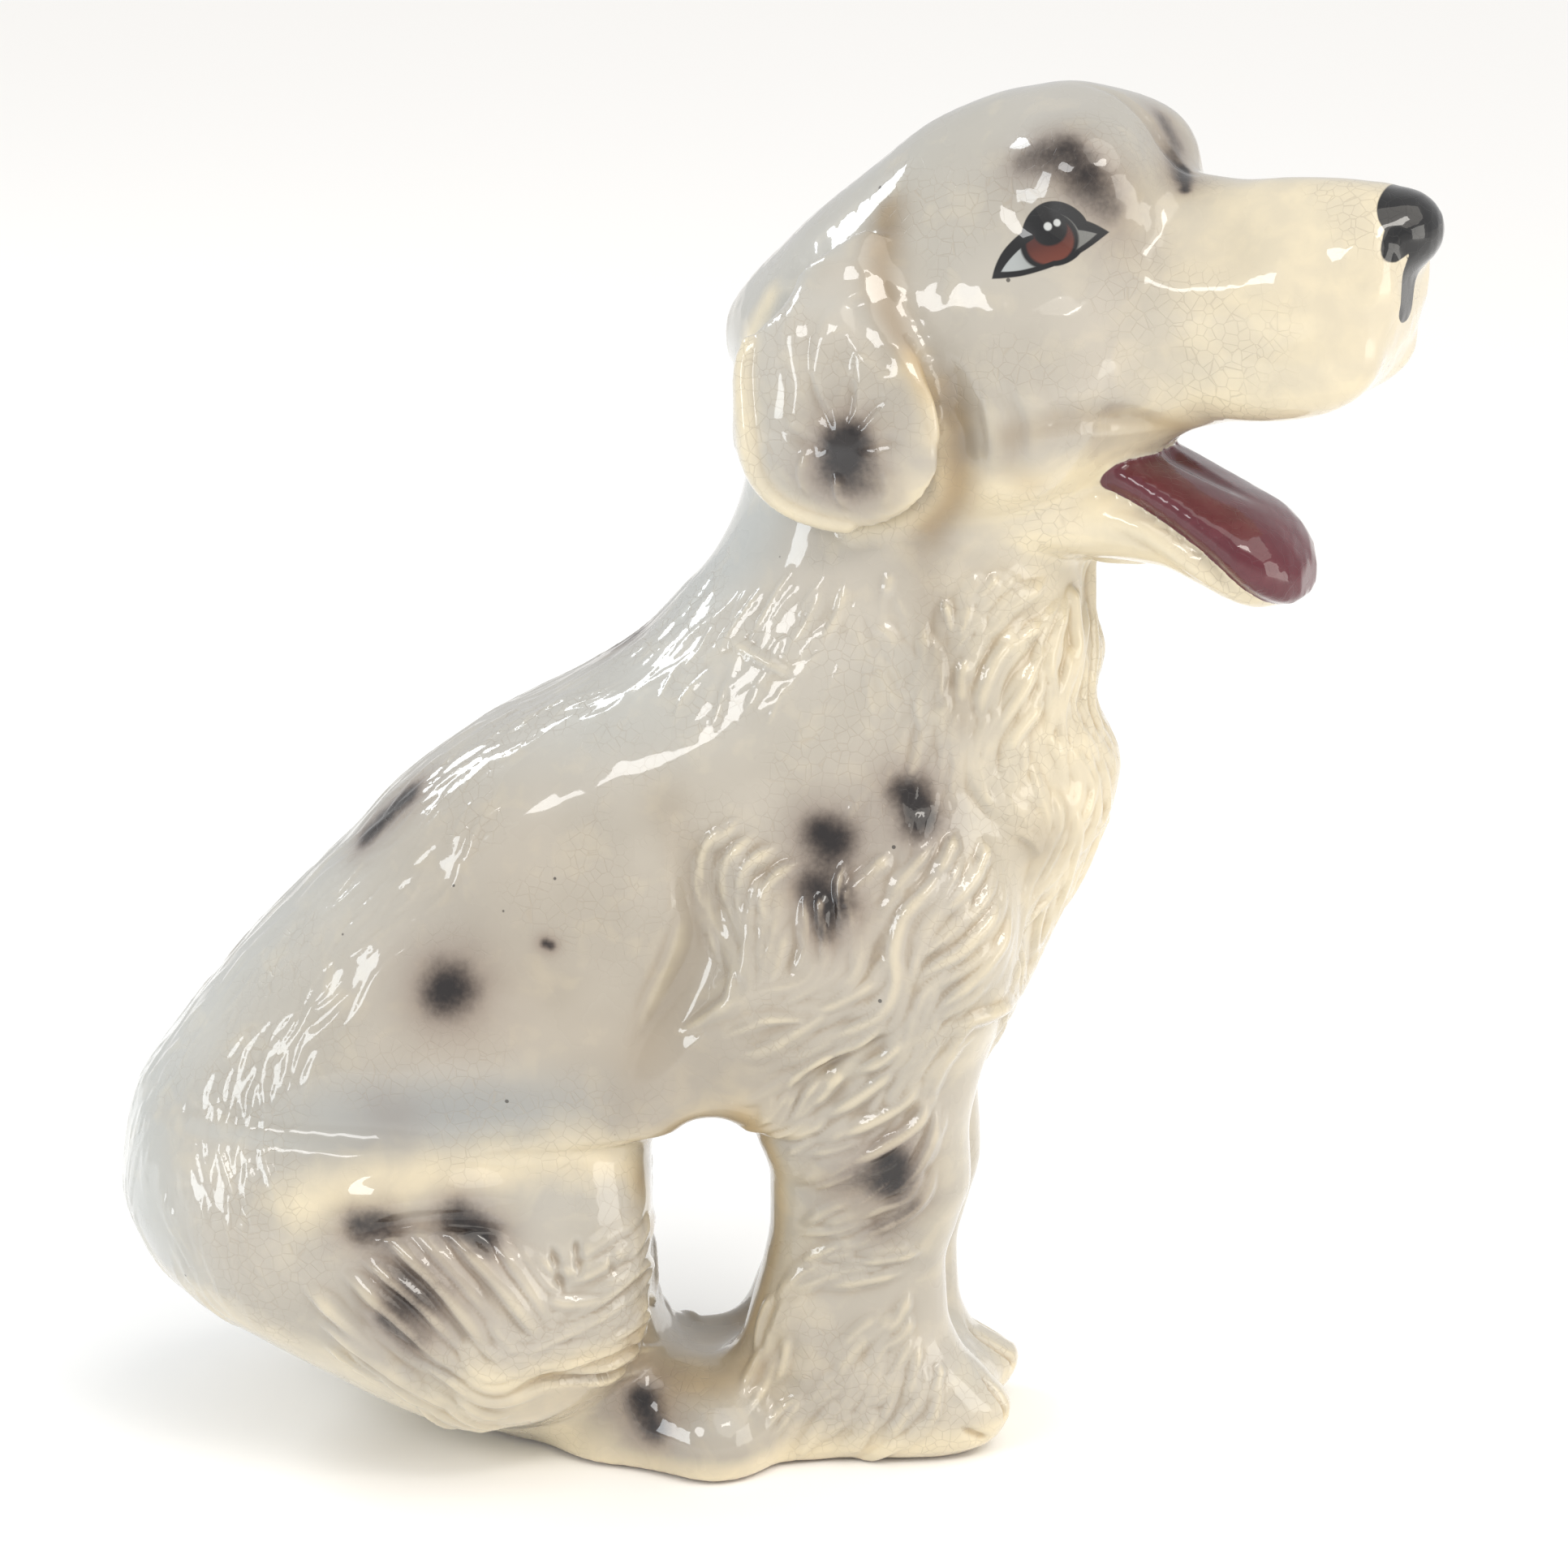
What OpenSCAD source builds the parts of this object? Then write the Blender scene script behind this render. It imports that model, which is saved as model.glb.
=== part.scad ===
// Seated setter figurine in glazed earthenware, stuck together from hollow castings.
// Millimetres. +X is the way the chest faces, +Z is up, and the dog's right side is -Y.
// The origin is on the table, just behind the front paws, on the figure's middle plane.
// The head has a frame of its own at the top of the neck, turned to the dog's right.

/* [Figure] */
// Height from the table to the top of the skull
figure_height = 276; // [240:2:310]
// How far the head turns to the dog's right, in degrees
head_turn = 25; // [18:1:30]

/* [Casting] */
// Wall thickness of the hollow castings
wall = 4.5; // [3.5:0.5:5.5]
// Diameter of the drain hole under the body
drain_d = 12; // [8:1:16]

/* [Hidden] */

// Sizes below are for a figure this tall, and the whole figure is scaled from it.
modelled_height = 276;
scale_factor = figure_height / modelled_height;

// Sides of a lofted ring, and of a rounded limb.
ring_sides = 32;
limb_sides = 22;

// A height above and below everything, for trimming.
beyond = 400;

// Rows of a casting built up from the table: height, back x, front x, half width, centre y.
seam_z = 166;
seam_overlap = 1;
torso_levels = [
    [0, -62, -30, 9, 0], [5, -73, -27, 19, 0], [12, -86, -25, 29, 0], [20, -99, -25, 37, 0],
    [28, -112, -25, 41.5, 0], [36, -124, -25, 43.5, 0], [44, -130.5, -25, 44.5, 0], [55, -134, -25, 44, 0],
    [64, -133, -24, 42, 0], [72, -131, -12, 40.5, 0], [75, -130, 18, 40.5, 0], [80, -127, 32, 41, 0],
    [86, -122.5, 39, 41, 0], [95, -115.5, 47, 41, 0], [110, -102, 54, 40.5, 0], [124, -88, 61, 39, 0],
    [136, -77, 64.5, 38, 0], [148, -61, 62.5, 36.5, 0], [158, -41.5, 60.5, 34.5, 0],
    [seam_z, -29, 60.5, 33, 0]];
neck_levels = [
    [seam_z, -29, 60.5, 33, 0], [174, -21, 59.5, 31, 0], [184, -13, 59.5, 29.5, 0], [196, -8, 56, 28.5, 1],
    [208, -6, 52, 28, 3], [220, -3, 48, 26, 4], [232, 2, 44, 24, 4]];
foreleg_levels = [
    [0, 8, 38, 7.5, 0], [3, 4, 43.5, 10.5, 0], [9, 1, 46, 12, 0], [15, -4, 42, 12.5, 0],
    [22, -11, 36, 13, 0], [30, -10.5, 33, 13, 0], [40, -6.5, 32.5, 13, 0], [50, -4, 35, 14, -1],
    [60, -4, 37.5, 15.5, -3], [70, -8, 37, 17, -5], [82, -13, 39, 18, -5], [95, -16, 42, 18, -5],
    [108, -16, 43, 17, -4], [120, -11, 42, 14, -1], [130, -3, 38, 10, 3], [138, 5, 32, 5, 7]];
foreleg_y = 13.5;
left_foreleg_ahead = 3;

// The head's frame sits at this point, and its rows are: x, top z, bottom z, half width.
head_origin = [34, 2, 0];
head_stations = [
    [-46, 231, 217, 9], [-38, 240, 207, 19], [-28, 249.5, 196, 27], [-14, 261, 188.5, 31.5],
    [0, 271, 186, 33], [12, 275, 187, 32.5], [22, 276, 191, 30.5], [30, 275.5, 196, 28],
    [37, 271.5, 202, 25], [42, 265, 207, 22.5], [47, 260.8, 211, 20], [55, 260.3, 214, 18],
    [66, 261.2, 216, 17.3], [77, 262, 219, 16.5], [84, 261.5, 223.5, 15.5], [88, 259, 228.5, 14.5],
    [90.5, 255, 233.5, 12.5], [91.8, 251, 238, 9.5]];
jaw_stations = [
    [14, 206, 186, 24], [26, 205, 186, 20], [36, 204, 186, 16], [46, 199.5, 185.5, 15], [54, 195, 182.5, 14],
    [60, 190.5, 180, 12.5], [64, 187, 179, 10], [67, 184.5, 179.5, 7], [69, 183, 180.5, 4]];
tongue_stations = [
    [22, 210, 203, 10], [30, 210.5, 202, 13], [40, 209, 199, 14.5], [50, 205, 194.5, 15],
    [58, 200.5, 189.5, 15.5], [65, 197, 184, 15.5], [70, 194.5, 181, 13.5], [74, 191.5, 180.5, 10],
    [77, 188, 182, 5]];

// Brow, cheek and lip of the right side of the head, then thigh and haunch of the right leg. Each is an
// egg: its centre, its half lengths, and its tilt nose down.
face_eggs = [
    [[31.5, -15, 262], [11, 10, 9.5], 20], [[16, -24, 222], [22, 11, 22], 0], [[70, -10.5, 228], [19, 8, 10], -8]];
haunch_eggs = [[[-60, -27, 41], [34, 21, 30], 10], [[-43, -22, 56], [18, 19, 24], -14]];
left_haunch_back = 8;

// Balls of a rounded limb: centre x, y, z, then the half lengths along x, y, z.
ear_balls = [[-4, -31, 247, 7, 3, 6], [-7, -36, 238, 14.5, 4, 12], [-8, -40, 222, 23, 5.5, 18.5],
    [-8, -41, 213, 21.5, 5, 17]];
tail_balls = [[-114, 24, 50, 11.5, 11.5, 11.5], [-104, 38, 34, 11, 11, 11], [-88, 47, 21, 10.5, 10.5, 10.5],
    [-70, 51, 12, 9.5, 9.5, 9.5], [-55, 51, 9, 8.5, 8.5, 8.5], [-43, 47, 7, 6.5, 6.5, 6.5]];
right_foot_balls = [[-46, -4, 6, 9.5, 9.5, 9.5], [-30, -13, 6.5, 11.5, 11.5, 11.5], [-14, -23, 5.5, 11.5, 11.5, 11.5]];
left_foot_balls = [[-74, -20, 8, 9.5, 9.5, 9.5], [-56, -27, 9, 11.5, 11.5, 11.5], [-46, -30, 6.5, 11.5, 11.5, 11.5]];
web_size = [52, 30, 17];
web_x = -16;
web_round = 6;
nose_centre = [87.8, 0, 253];
nose_half = [8.8, 10, 8];
eye_centre = [28, -25.5, 250];
eye_half = [9.5, 5, 6];
eye_tilt = 22;

glaze_colour = [0.85, 0.82, 0.76];
tongue_colour = [0.43, 0.17, 0.21];
black_colour = [0.06, 0.06, 0.06];
eye_colour = [0.45, 0.2, 0.15];

// A ring at one height, its x and y half lengths less an inset.
function level_ring(row, inset) = [
    for (k = [0 : ring_sides - 1])
        let (a = 360 * k / ring_sides)
        [(row[1] + row[2]) / 2 + ((row[2] - row[1]) / 2 - inset) * cos(a),
         row[4] + (row[3] - inset) * sin(a),
         row[0]]];

// A ring across one x station, its y and z half lengths less an inset.
function station_ring(row, inset) = [
    for (k = [0 : ring_sides - 1])
        let (a = 360 * k / ring_sides)
        [row[0],
         (row[3] - inset) * cos(a),
         (row[1] + row[2]) / 2 + ((row[1] - row[2]) / 2 - inset) * sin(a)]];

// The two triangles between a ring's edge and the next ring's.
function wall_faces(i, k, n) =
    let (j = (k + 1) % n, a = i * n, b = (i + 1) * n)
    [[a + k, b + k, b + j], [a + k, b + j, a + j]];

// A closed skin through a list of rings.
module loft(rings) {
    n = len(rings[0]);
    last = len(rings) - 1;
    polyhedron(
        points = [for (ring = rings) each ring],
        faces = concat(
            [[for (k = [0 : n - 1]) k]],
            [for (i = [0 : last - 1]) for (k = [0 : n - 1]) each wall_faces(i, k, n)],
            [[for (k = [n - 1 : -1 : 0]) last * n + k]]));
}

module level_loft(levels, inset = 0) {
    loft([for (row = levels) level_ring(row, inset)]);
}

module station_loft(stations, inset = 0) {
    loft([for (row = stations) station_ring(row, inset)]);
}

// A rounded limb: each ball is hulled to the next one.
module limb(balls, inset = 0) {
    for (i = [0 : len(balls) - 2])
        hull()
            for (ball = [balls[i], balls[i + 1]])
                translate([ball[0], ball[1], ball[2]])
                    scale([ball[3] - inset, ball[4] - inset, ball[5] - inset])
                        sphere(r = 1, $fn = limb_sides);
}

// A casting as one closed skin; the zeros keep its size.
module one_skin() {
    scale(scale_factor)
        resize([0, 0, 0])
            children();
}

module in_head_frame() {
    translate(head_origin)
        rotate([0, 0, -head_turn])
            children();
}

module below_table() {
    translate([-beyond / 2, -beyond / 2, -beyond])
        cube(beyond);
}

// Outer solids, which neighbours are trimmed to.
module torso_form() {
    level_loft(torso_levels);
}

// The hollow inside the body, from one height up through the neck seam.
module torso_core(from_z) {
    rows = [for (row = torso_levels) if (row[0] >= from_z) row];
    level_loft([for (row = rows) row + [row[0] == seam_z ? seam_overlap : 0, 0, 0, 0, 0]], wall);
}

module neck_form() {
    level_loft(neck_levels);
}

module neck_core() {
    level_loft([for (row = neck_levels) row - [row[0] == seam_z ? seam_overlap : 0, 0, 0, 0, 0]], wall);
}

// Eggs of one side, on the right unless the side is -1.
module eggs(rows, side = 1, inset = 0) {
    scale([1, side, 1])
        for (row = rows)
            translate(row[0])
                rotate([0, row[2], 0])
                    scale([for (half = row[1]) half - inset])
                        sphere(r = 1, $fn = 2 * limb_sides);
}

module head_form() {
    in_head_frame() {
        station_loft(head_stations);
        eggs(face_eggs);
        eggs(face_eggs, -1);
    }
}

module tongue_form() {
    in_head_frame()
        station_loft(tongue_stations);
}

// Legs and feet are on the right unless the side is -1.
module foreleg_place(side) {
    translate([side < 0 ? left_foreleg_ahead : 0, -side * foreleg_y, 0])
        scale([1, side, 1])
            children();
}

module foreleg_form(side = 1) {
    difference() {
        foreleg_place(side)
            level_loft(foreleg_levels);
        web_form();
    }
}

module haunch_form(side = 1, inset = 0) {
    translate([side < 0 ? -left_haunch_back : 0, 0, 0])
        eggs(haunch_eggs, side, inset);
}

module hind_foot_form(side = 1) {
    scale([1, side, 1])
        limb(side < 0 ? left_foot_balls : right_foot_balls);
}

module web_form() {
    translate([web_x, 0, 0])
        hull()
            for (x = [-1, 1], y = [-1, 1])
                translate([x * (web_size[0] / 2 - web_round), y * (web_size[1] / 2 - web_round), 0])
                    cylinder(h = web_size[2], r = web_round, $fn = 24);
}

// The body: rump, belly and chest, open at the neck seam and drained below.
module torso() {
    hollow_from = 5;
    color(glaze_colour)
        one_skin()
            difference() {
                torso_form();
                torso_core(hollow_from);
                translate([-47, 0, -1])
                    cylinder(h = 3 * hollow_from, d = drain_d, $fn = 32);
            }
}

// The neck is a tube between the body's seam and the head.
module neck() {
    color(glaze_colour)
        one_skin()
            difference() {
                neck_form();
                neck_core();
                head_form();
            }
}

// Skull and upper jaw in one casting, hollow into the neck.
module head() {
    color(glaze_colour)
        one_skin()
            difference() {
                head_form();
                in_head_frame()
                    station_loft([for (row = head_stations) if (row[0] > -30 && row[0] < 88) row], wall);
                neck_core();
            }
}

module lower_jaw() {
    color(glaze_colour)
        one_skin()
            difference() {
                in_head_frame()
                    station_loft(jaw_stations);
                head_form();
                neck_form();
                tongue_form();
            }
}

module tongue() {
    color(tongue_colour)
        one_skin()
            difference() {
                tongue_form();
                head_form();
            }
}

module nose() {
    color(black_colour)
        one_skin()
            difference() {
                in_head_frame()
                    translate(nose_centre)
                        scale(nose_half)
                            sphere(r = 1, $fn = limb_sides);
                head_form();
            }
}

// One eye, on the right unless the side is -1.
module eye(side = 1) {
    color(eye_colour)
        one_skin()
            difference() {
                in_head_frame()
                    scale([1, side, 1])
                        translate(eye_centre)
                            rotate([0, 0, eye_tilt])
                                scale(eye_half)
                                    sphere(r = 1, $fn = limb_sides);
                head_form();
            }
}

// One ear leather, on the right unless the side is -1.
module ear(side = 1) {
    color(glaze_colour)
        one_skin()
            difference() {
                in_head_frame()
                    scale([1, side, 1])
                        limb(ear_balls);
                head_form();
                neck_form();
                torso_form();
            }
}

// A front leg and its paw, hollow, and closed by the chest above.
module foreleg(side = 1) {
    color(glaze_colour)
        one_skin()
            difference() {
                foreleg_form(side);
                foreleg_place(side)
                    level_loft([for (row = foreleg_levels) if (row[0] > 20) row], wall);
                torso_form();
            }
}

// The bulge of a thigh, a thin shell on the side of the body.
module haunch(side = 1) {
    color(glaze_colour)
        one_skin()
            difference() {
                haunch_form(side);
                haunch_form(side, wall);
                torso_form();
                below_table();
            }
}

module hind_foot(side = 1) {
    color(glaze_colour)
        one_skin()
            difference() {
                hind_foot_form(side);
                haunch_form(side);
                torso_form();
                foreleg_form(side);
                below_table();
            }
}

// The low slab that ties the hind feet to the front paws. The origin is on its underside.
module base_web() {
    color(glaze_colour)
        one_skin()
            difference() {
                web_form();
                torso_form();
                for (side = [-1, 1]) {
                    haunch_form(side);
                    hind_foot_form(side);
                }
            }
}

// The tail lies on the table along the left thigh.
module tail() {
    color(glaze_colour)
        one_skin()
            difference() {
                limb(tail_balls);
                torso_form();
                haunch_form(-1);
                hind_foot_form(-1);
                below_table();
            }
}

torso();
neck();
head();
lower_jaw();
tongue();
nose();
eye();  // eye_right
eye(-1);  // eye_left
ear();  // ear_right
ear(-1);  // ear_left
foreleg();  // foreleg_right
foreleg(-1);  // foreleg_left
haunch();  // haunch_right
haunch(-1);  // haunch_left
hind_foot();  // hind_foot_right
hind_foot(-1);  // hind_foot_left
base_web();
tail();
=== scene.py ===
"""Looks of a seated setter in glazed earthenware: one clay body, combed, painted and cut into pieces."""

import itertools
import math

import bpy
import numpy as np
import openvdb
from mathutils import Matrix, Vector
from mathutils.bvhtree import BVHTree


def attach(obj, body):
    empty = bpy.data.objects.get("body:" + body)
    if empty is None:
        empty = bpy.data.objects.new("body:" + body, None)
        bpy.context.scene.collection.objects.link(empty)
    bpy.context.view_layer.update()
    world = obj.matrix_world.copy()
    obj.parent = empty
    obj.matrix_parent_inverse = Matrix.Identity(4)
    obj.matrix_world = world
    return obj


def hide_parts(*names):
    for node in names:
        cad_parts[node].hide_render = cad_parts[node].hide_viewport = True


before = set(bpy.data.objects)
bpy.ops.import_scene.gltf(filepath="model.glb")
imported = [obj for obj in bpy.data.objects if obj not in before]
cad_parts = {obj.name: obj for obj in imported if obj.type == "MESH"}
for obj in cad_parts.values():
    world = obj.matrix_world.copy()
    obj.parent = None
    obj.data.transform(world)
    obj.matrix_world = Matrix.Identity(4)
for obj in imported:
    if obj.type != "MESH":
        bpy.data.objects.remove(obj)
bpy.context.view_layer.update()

# All shapes are worked out in millimetres, in the CAD frame: +X is the way the chest faces, +Z is up and the
# dog's right side is -Y. Only finished meshes, lights and the camera are in metres.
MM = 0.001
CELL = 1.25
FAR = 40.0
RNG = np.random.default_rng(7)

HEAD_ORIGIN = (34.0, 2.0, 0.0)
HEAD_TURN = math.radians(25.0)


# ---------------------------------------------------------------- curves through tables

def pchip(knots, values, at):
    """A smooth curve through values at knots that never overshoots them."""
    gap = np.diff(knots)
    rise = np.diff(values) / gap
    slope = np.zeros(len(knots))
    slope[0], slope[-1] = rise[0], rise[-1]
    for i in range(1, len(knots) - 1):
        if rise[i - 1] * rise[i] > 0:
            before, after = 2 * gap[i] + gap[i - 1], gap[i] + 2 * gap[i - 1]
            slope[i] = (before + after) / (before / rise[i - 1] + after / rise[i])
    i = np.clip(np.searchsorted(knots, at) - 1, 0, len(gap) - 1)
    t = np.clip((at - knots[i]) / gap[i], 0, 1)
    bend = gap[i] * ((t**3 - 2 * t**2 + t) * slope[i] + (t**3 - t**2) * slope[i + 1])
    return values[i] * (2 * t**3 - 3 * t**2 + 1) + values[i + 1] * (3 * t**2 - 2 * t**3) + bend


class Table:
    """Rows of measures along one axis, looked up smoothly between them.

    A row is a place on the axis and its measures. Zeros at a row's end may be left out.
    """

    STEP = 0.25

    def __init__(self, rows, measures):
        rows = np.array([row + [0] * (measures + 1 - len(row)) for row in rows], float)
        self.start, self.end = rows[0, 0], rows[-1, 0]
        at = np.arange(self.start, self.end + self.STEP, self.STEP)
        self.columns = [pchip(rows[:, 0], rows[:, i], at).astype(np.float32) for i in range(1, rows.shape[1])]

    def __call__(self, t):
        place = np.clip((t - self.start) / self.STEP, 0, len(self.columns[0]) - 1)
        index = place.astype(np.int32)
        return [column[index] for column in self.columns]


# ---------------------------------------------------------------- distances to simple forms

def oval(u, v, a, b, power):
    """Signed distance to a rounded cross-section with half lengths a and b, measured from its middle."""
    u, v = np.abs(u / a), np.abs(v / b)
    k = np.maximum((u**power + v**power) ** (1 / power), 1e-3)
    grad = np.sqrt((u ** (power - 1) / a) ** 2 + (v ** (power - 1) / b) ** 2) * k ** (1 - power)
    return np.maximum((k - 1) / np.maximum(grad, 1e-3), -np.minimum(a, b) * np.ones_like(k))


def level_form(rows, power=2.2):
    """A form built up z. Rows: z, back x, front x, half width, centre y, lean of the width forward."""
    table = Table(rows, 5)

    def distance(x, y, z):
        back, front, side, centre, lean = table(z)
        middle, half = (front + back) / 2, (front - back) / 2
        along = np.clip((x - middle) / half, -1, 1)
        width = side * (1 + lean * along)
        d = oval(x - middle, y - centre, half, width, power)
        return np.maximum(d, np.maximum(table.start - z, z - table.end))

    return distance


def station_form(rows, power=2.2):
    """A form built along x. Rows: x, top z, bottom z, half width, lean of the width upward."""
    table = Table(rows, 4)

    def distance(x, y, z):
        top, bottom, side, lean = table(x)
        middle, half = (top + bottom) / 2, (top - bottom) / 2
        up = np.clip((z - middle) / half, -1, 1)
        width = side * (1 + lean * up)
        d = oval(z - middle, y, half, width, power)
        return np.maximum(d, np.maximum(table.start - x, x - table.end))

    return distance


def ball(centre, half, yaw=0.0, pitch=0.0):
    """An ellipsoid, turned in degrees about z and y."""
    turn = rotation(yaw, pitch)

    def distance(x, y, z):
        p = [x - centre[0], y - centre[1], z - centre[2]]
        q = [sum(turn[j][i] * p[j] for j in range(3)) for i in range(3)]
        k0 = np.sqrt(sum((q[i] / half[i]) ** 2 for i in range(3)))
        k1 = np.sqrt(sum((q[i] / half[i] ** 2) ** 2 for i in range(3)))
        return np.maximum(k0 * (k0 - 1) / np.maximum(k1, 1e-4), -min(half))

    return distance


def rotation(yaw, pitch):
    a, b = math.radians(yaw), math.radians(pitch)
    about_z = np.array([[math.cos(a), -math.sin(a), 0], [math.sin(a), math.cos(a), 0], [0, 0, 1]])
    about_y = np.array([[math.cos(b), 0, math.sin(b)], [0, 1, 0], [-math.sin(b), 0, math.cos(b)]])
    return about_z @ about_y


def limb(points, radii, flat=(1.0, 1.0, 1.0)):
    """A tapered limb through points, with a radius at each, squeezed along the axes by flat."""
    path = np.array(points, float) / flat
    radii = np.array(radii, float)

    def distance(x, y, z):
        p = [x / flat[0], y / flat[1], z / flat[2]]
        best = None
        for i in range(len(path) - 1):
            leg = path[i + 1] - path[i]
            t = sum((p[j] - path[i][j]) * leg[j] for j in range(3)) / leg.dot(leg)
            t = np.clip(t, 0, 1)
            off = np.sqrt(sum((p[j] - path[i][j] - t * leg[j]) ** 2 for j in range(3)))
            d = off - (radii[i] + t * (radii[i + 1] - radii[i]))
            best = d if best is None else soft_min(best, d, 1.5)
        return best * min(flat)

    return distance


def slab(centre, half, corner):
    """A box with rounded corners."""

    def distance(x, y, z):
        p = [x - centre[0], y - centre[1], z - centre[2]]
        q = [np.abs(p[i]) - (half[i] - corner) for i in range(3)]
        outside = np.sqrt(sum(np.maximum(v, 0) ** 2 for v in q))
        inside = np.minimum(np.maximum(np.maximum(q[0], q[1]), q[2]), 0)
        return outside + inside - corner

    return distance


def soft_min(a, b, blend):
    h = np.maximum(blend - np.abs(a - b), 0) / max(blend, 1e-6)
    return np.minimum(a, b) - h * h * blend / 4


def mirrored(form):
    return lambda x, y, z: form(x, -y, z)


def shifted(form, dx=0.0, dy=0.0):
    return lambda x, y, z: form(x - dx, y - dy, z)


def head_coords(x, y, z):
    """World to head frame: x ahead along the muzzle, y to the dog's left, z up."""
    x, y = x - HEAD_ORIGIN[0], y - HEAD_ORIGIN[1]
    c, s = math.cos(HEAD_TURN), math.sin(HEAD_TURN)
    return x * c - y * s, x * s + y * c, z - HEAD_ORIGIN[2]


def head_point(x, y, z):
    """Head frame to world."""
    c, s = math.cos(HEAD_TURN), math.sin(HEAD_TURN)
    return np.array([HEAD_ORIGIN[0] + x * c + y * s, HEAD_ORIGIN[1] - x * s + y * c, HEAD_ORIGIN[2] + z])


def on_head(form):
    return lambda x, y, z: form(*head_coords(x, y, z))


def head_box(low, high):
    """A world box around a box of the head frame."""
    corners = [head_point(*corner) for corner in itertools.product(*zip(low, high))]
    return np.min(corners, axis=0), np.max(corners, axis=0)


# ---------------------------------------------------------------- the clay

class Clay:
    """A block of space that holds the signed distance to the figure's skin, built up piece by piece."""

    def __init__(self, low, high, cell):
        self.low, self.cell = np.array(low, float), cell
        self.count = np.ceil((np.array(high, float) - self.low) / cell).astype(int) + 1
        self.field = np.full(self.count, FAR, np.float32)
        self.nearest = np.full(self.count, FAR, np.float32)
        self.label = np.zeros(self.count, np.uint8)
        self.names = []

    def window(self, low, high, margin):
        """The cells of a box with a margin: their slices, and their x, y and z."""
        first = np.floor((np.array(low) - margin - self.low) / self.cell).astype(int)
        last = np.ceil((np.array(high) + margin - self.low) / self.cell).astype(int)
        start = np.clip(first, 0, self.count - 2)
        stop = np.clip(last + 1, start + 2, self.count)
        where = tuple(slice(a, b) for a, b in zip(start, stop))
        axes = [(self.low[i] + self.cell * np.arange(start[i], stop[i])).astype(np.float32) for i in range(3)]
        return where, axes[0][:, None, None], axes[1][None, :, None], axes[2][None, None, :]

    def add(self, name, box, form, blend=4.0):
        if name not in self.names:
            self.names.append(name)
        where, x, y, z = self.window(box[0], box[1], blend + 3)
        d = (form(x, y, z) + 0 * (x + y + z)).astype(np.float32)
        self.field[where] = soft_min(self.field[where], d, blend)
        closer = d < self.nearest[where]
        self.nearest[where] = np.where(closer, d, self.nearest[where])
        self.label[where] = np.where(closer, self.names.index(name), self.label[where])

    def carve(self, box, form, blend=2.0):
        where, x, y, z = self.window(box[0], box[1], blend + 3)
        d = (form(x, y, z) + 0 * (x + y + z)).astype(np.float32)
        self.field[where] = -soft_min(-self.field[where], d, blend)

    def labels_at(self, points):
        index = np.clip(np.rint((points - self.low) / self.cell).astype(int), 0, self.count - 1)
        return self.label[index[:, 0], index[:, 1], index[:, 2]]

    def skin(self):
        grid = openvdb.FloatGrid(FAR)
        grid.copyFromArray(np.clip(self.field, -FAR, FAR))
        points, _, quads = grid.convertToPolygons(isovalue=0.0, adaptivity=0.0)
        return points.astype(float) * self.cell + self.low, quads.astype(np.int64)


# ---------------------------------------------------------------- the figure's forms

# Rows for level_form (body, forelegs) and for station_form (head, jaw, tongue), and points for limb.
SEAM = 166
BODY = [
    [0, -62, -30, 9], [5, -73, -27, 19], [12, -86, -25, 29], [20, -99, -25, 37], [28, -112, -25, 41.5],
    [36, -124, -25, 43.5], [44, -130.5, -25, 44.5], [55, -134, -25, 44], [64, -133, -24, 42],
    [72, -131, -12, 40], [75, -130, 18, 40], [80, -127, 32, 40.5, 0, -0.03],
    [86, -122.5, 39, 40.5, 0, -0.05], [95, -115.5, 47, 40, 0, -0.06], [110, -102, 54, 39, 0, -0.05],
    [124, -88, 61, 37.5, 0, -0.03], [136, -77, 64.5, 37], [148, -61, 62.5, 36], [158, -41.5, 60.5, 34.5],
    [SEAM, -29, 60.5, 33], [174, -21, 59.5, 31], [184, -13, 59.5, 29.5], [196, -8, 56, 28.5, 1],
    [208, -6, 52, 28, 3], [220, -3, 48, 26, 4], [232, 2, 44, 24, 4]]
FORELEG = [
    [0, 8, 38, 7.5], [3, 4, 43.5, 10.5], [9, 1, 46, 12], [15, -4, 42, 12.5], [22, -11, 36, 13],
    [30, -10.5, 33, 13], [40, -6.5, 32.5, 13], [50, -4, 35, 14, -1], [60, -4, 37.5, 15.5, -3],
    [70, -8, 37, 17, -5], [82, -13, 39, 18, -5], [95, -16, 42, 18, -5], [108, -16, 43, 17, -4],
    [120, -11, 42, 14, -1], [130, -3, 38, 10, 3], [138, 5, 32, 5, 7]]
# The left foreleg's feathering sits lower
LEFT_FORELEG = [[row[0] - (6 if 20 < row[0] < 65 else 3 if row[0] == 15 else 0)] + row[1:] for row in FORELEG]
FORELEG_Y = 13.5
LEFT_AHEAD = 3
LEFT_HAUNCH_BACK = 8
HIND_FOOT_RIGHT = [(-46, -4, 6), (-30, -13, 6.5), (-14, -23, 5.5)]
HIND_FOOT_LEFT = [(-74, -20, 8), (-56, -27, 9), (-46, -30, 6.5)]
TAIL = [(-114, 24, 50), (-104, 38, 34), (-88, 47, 21), (-70, 51, 12), (-55, 51, 9), (-43, 47, 7)]
DRAIN_X, DRAIN_RADIUS = -47, 6

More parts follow.
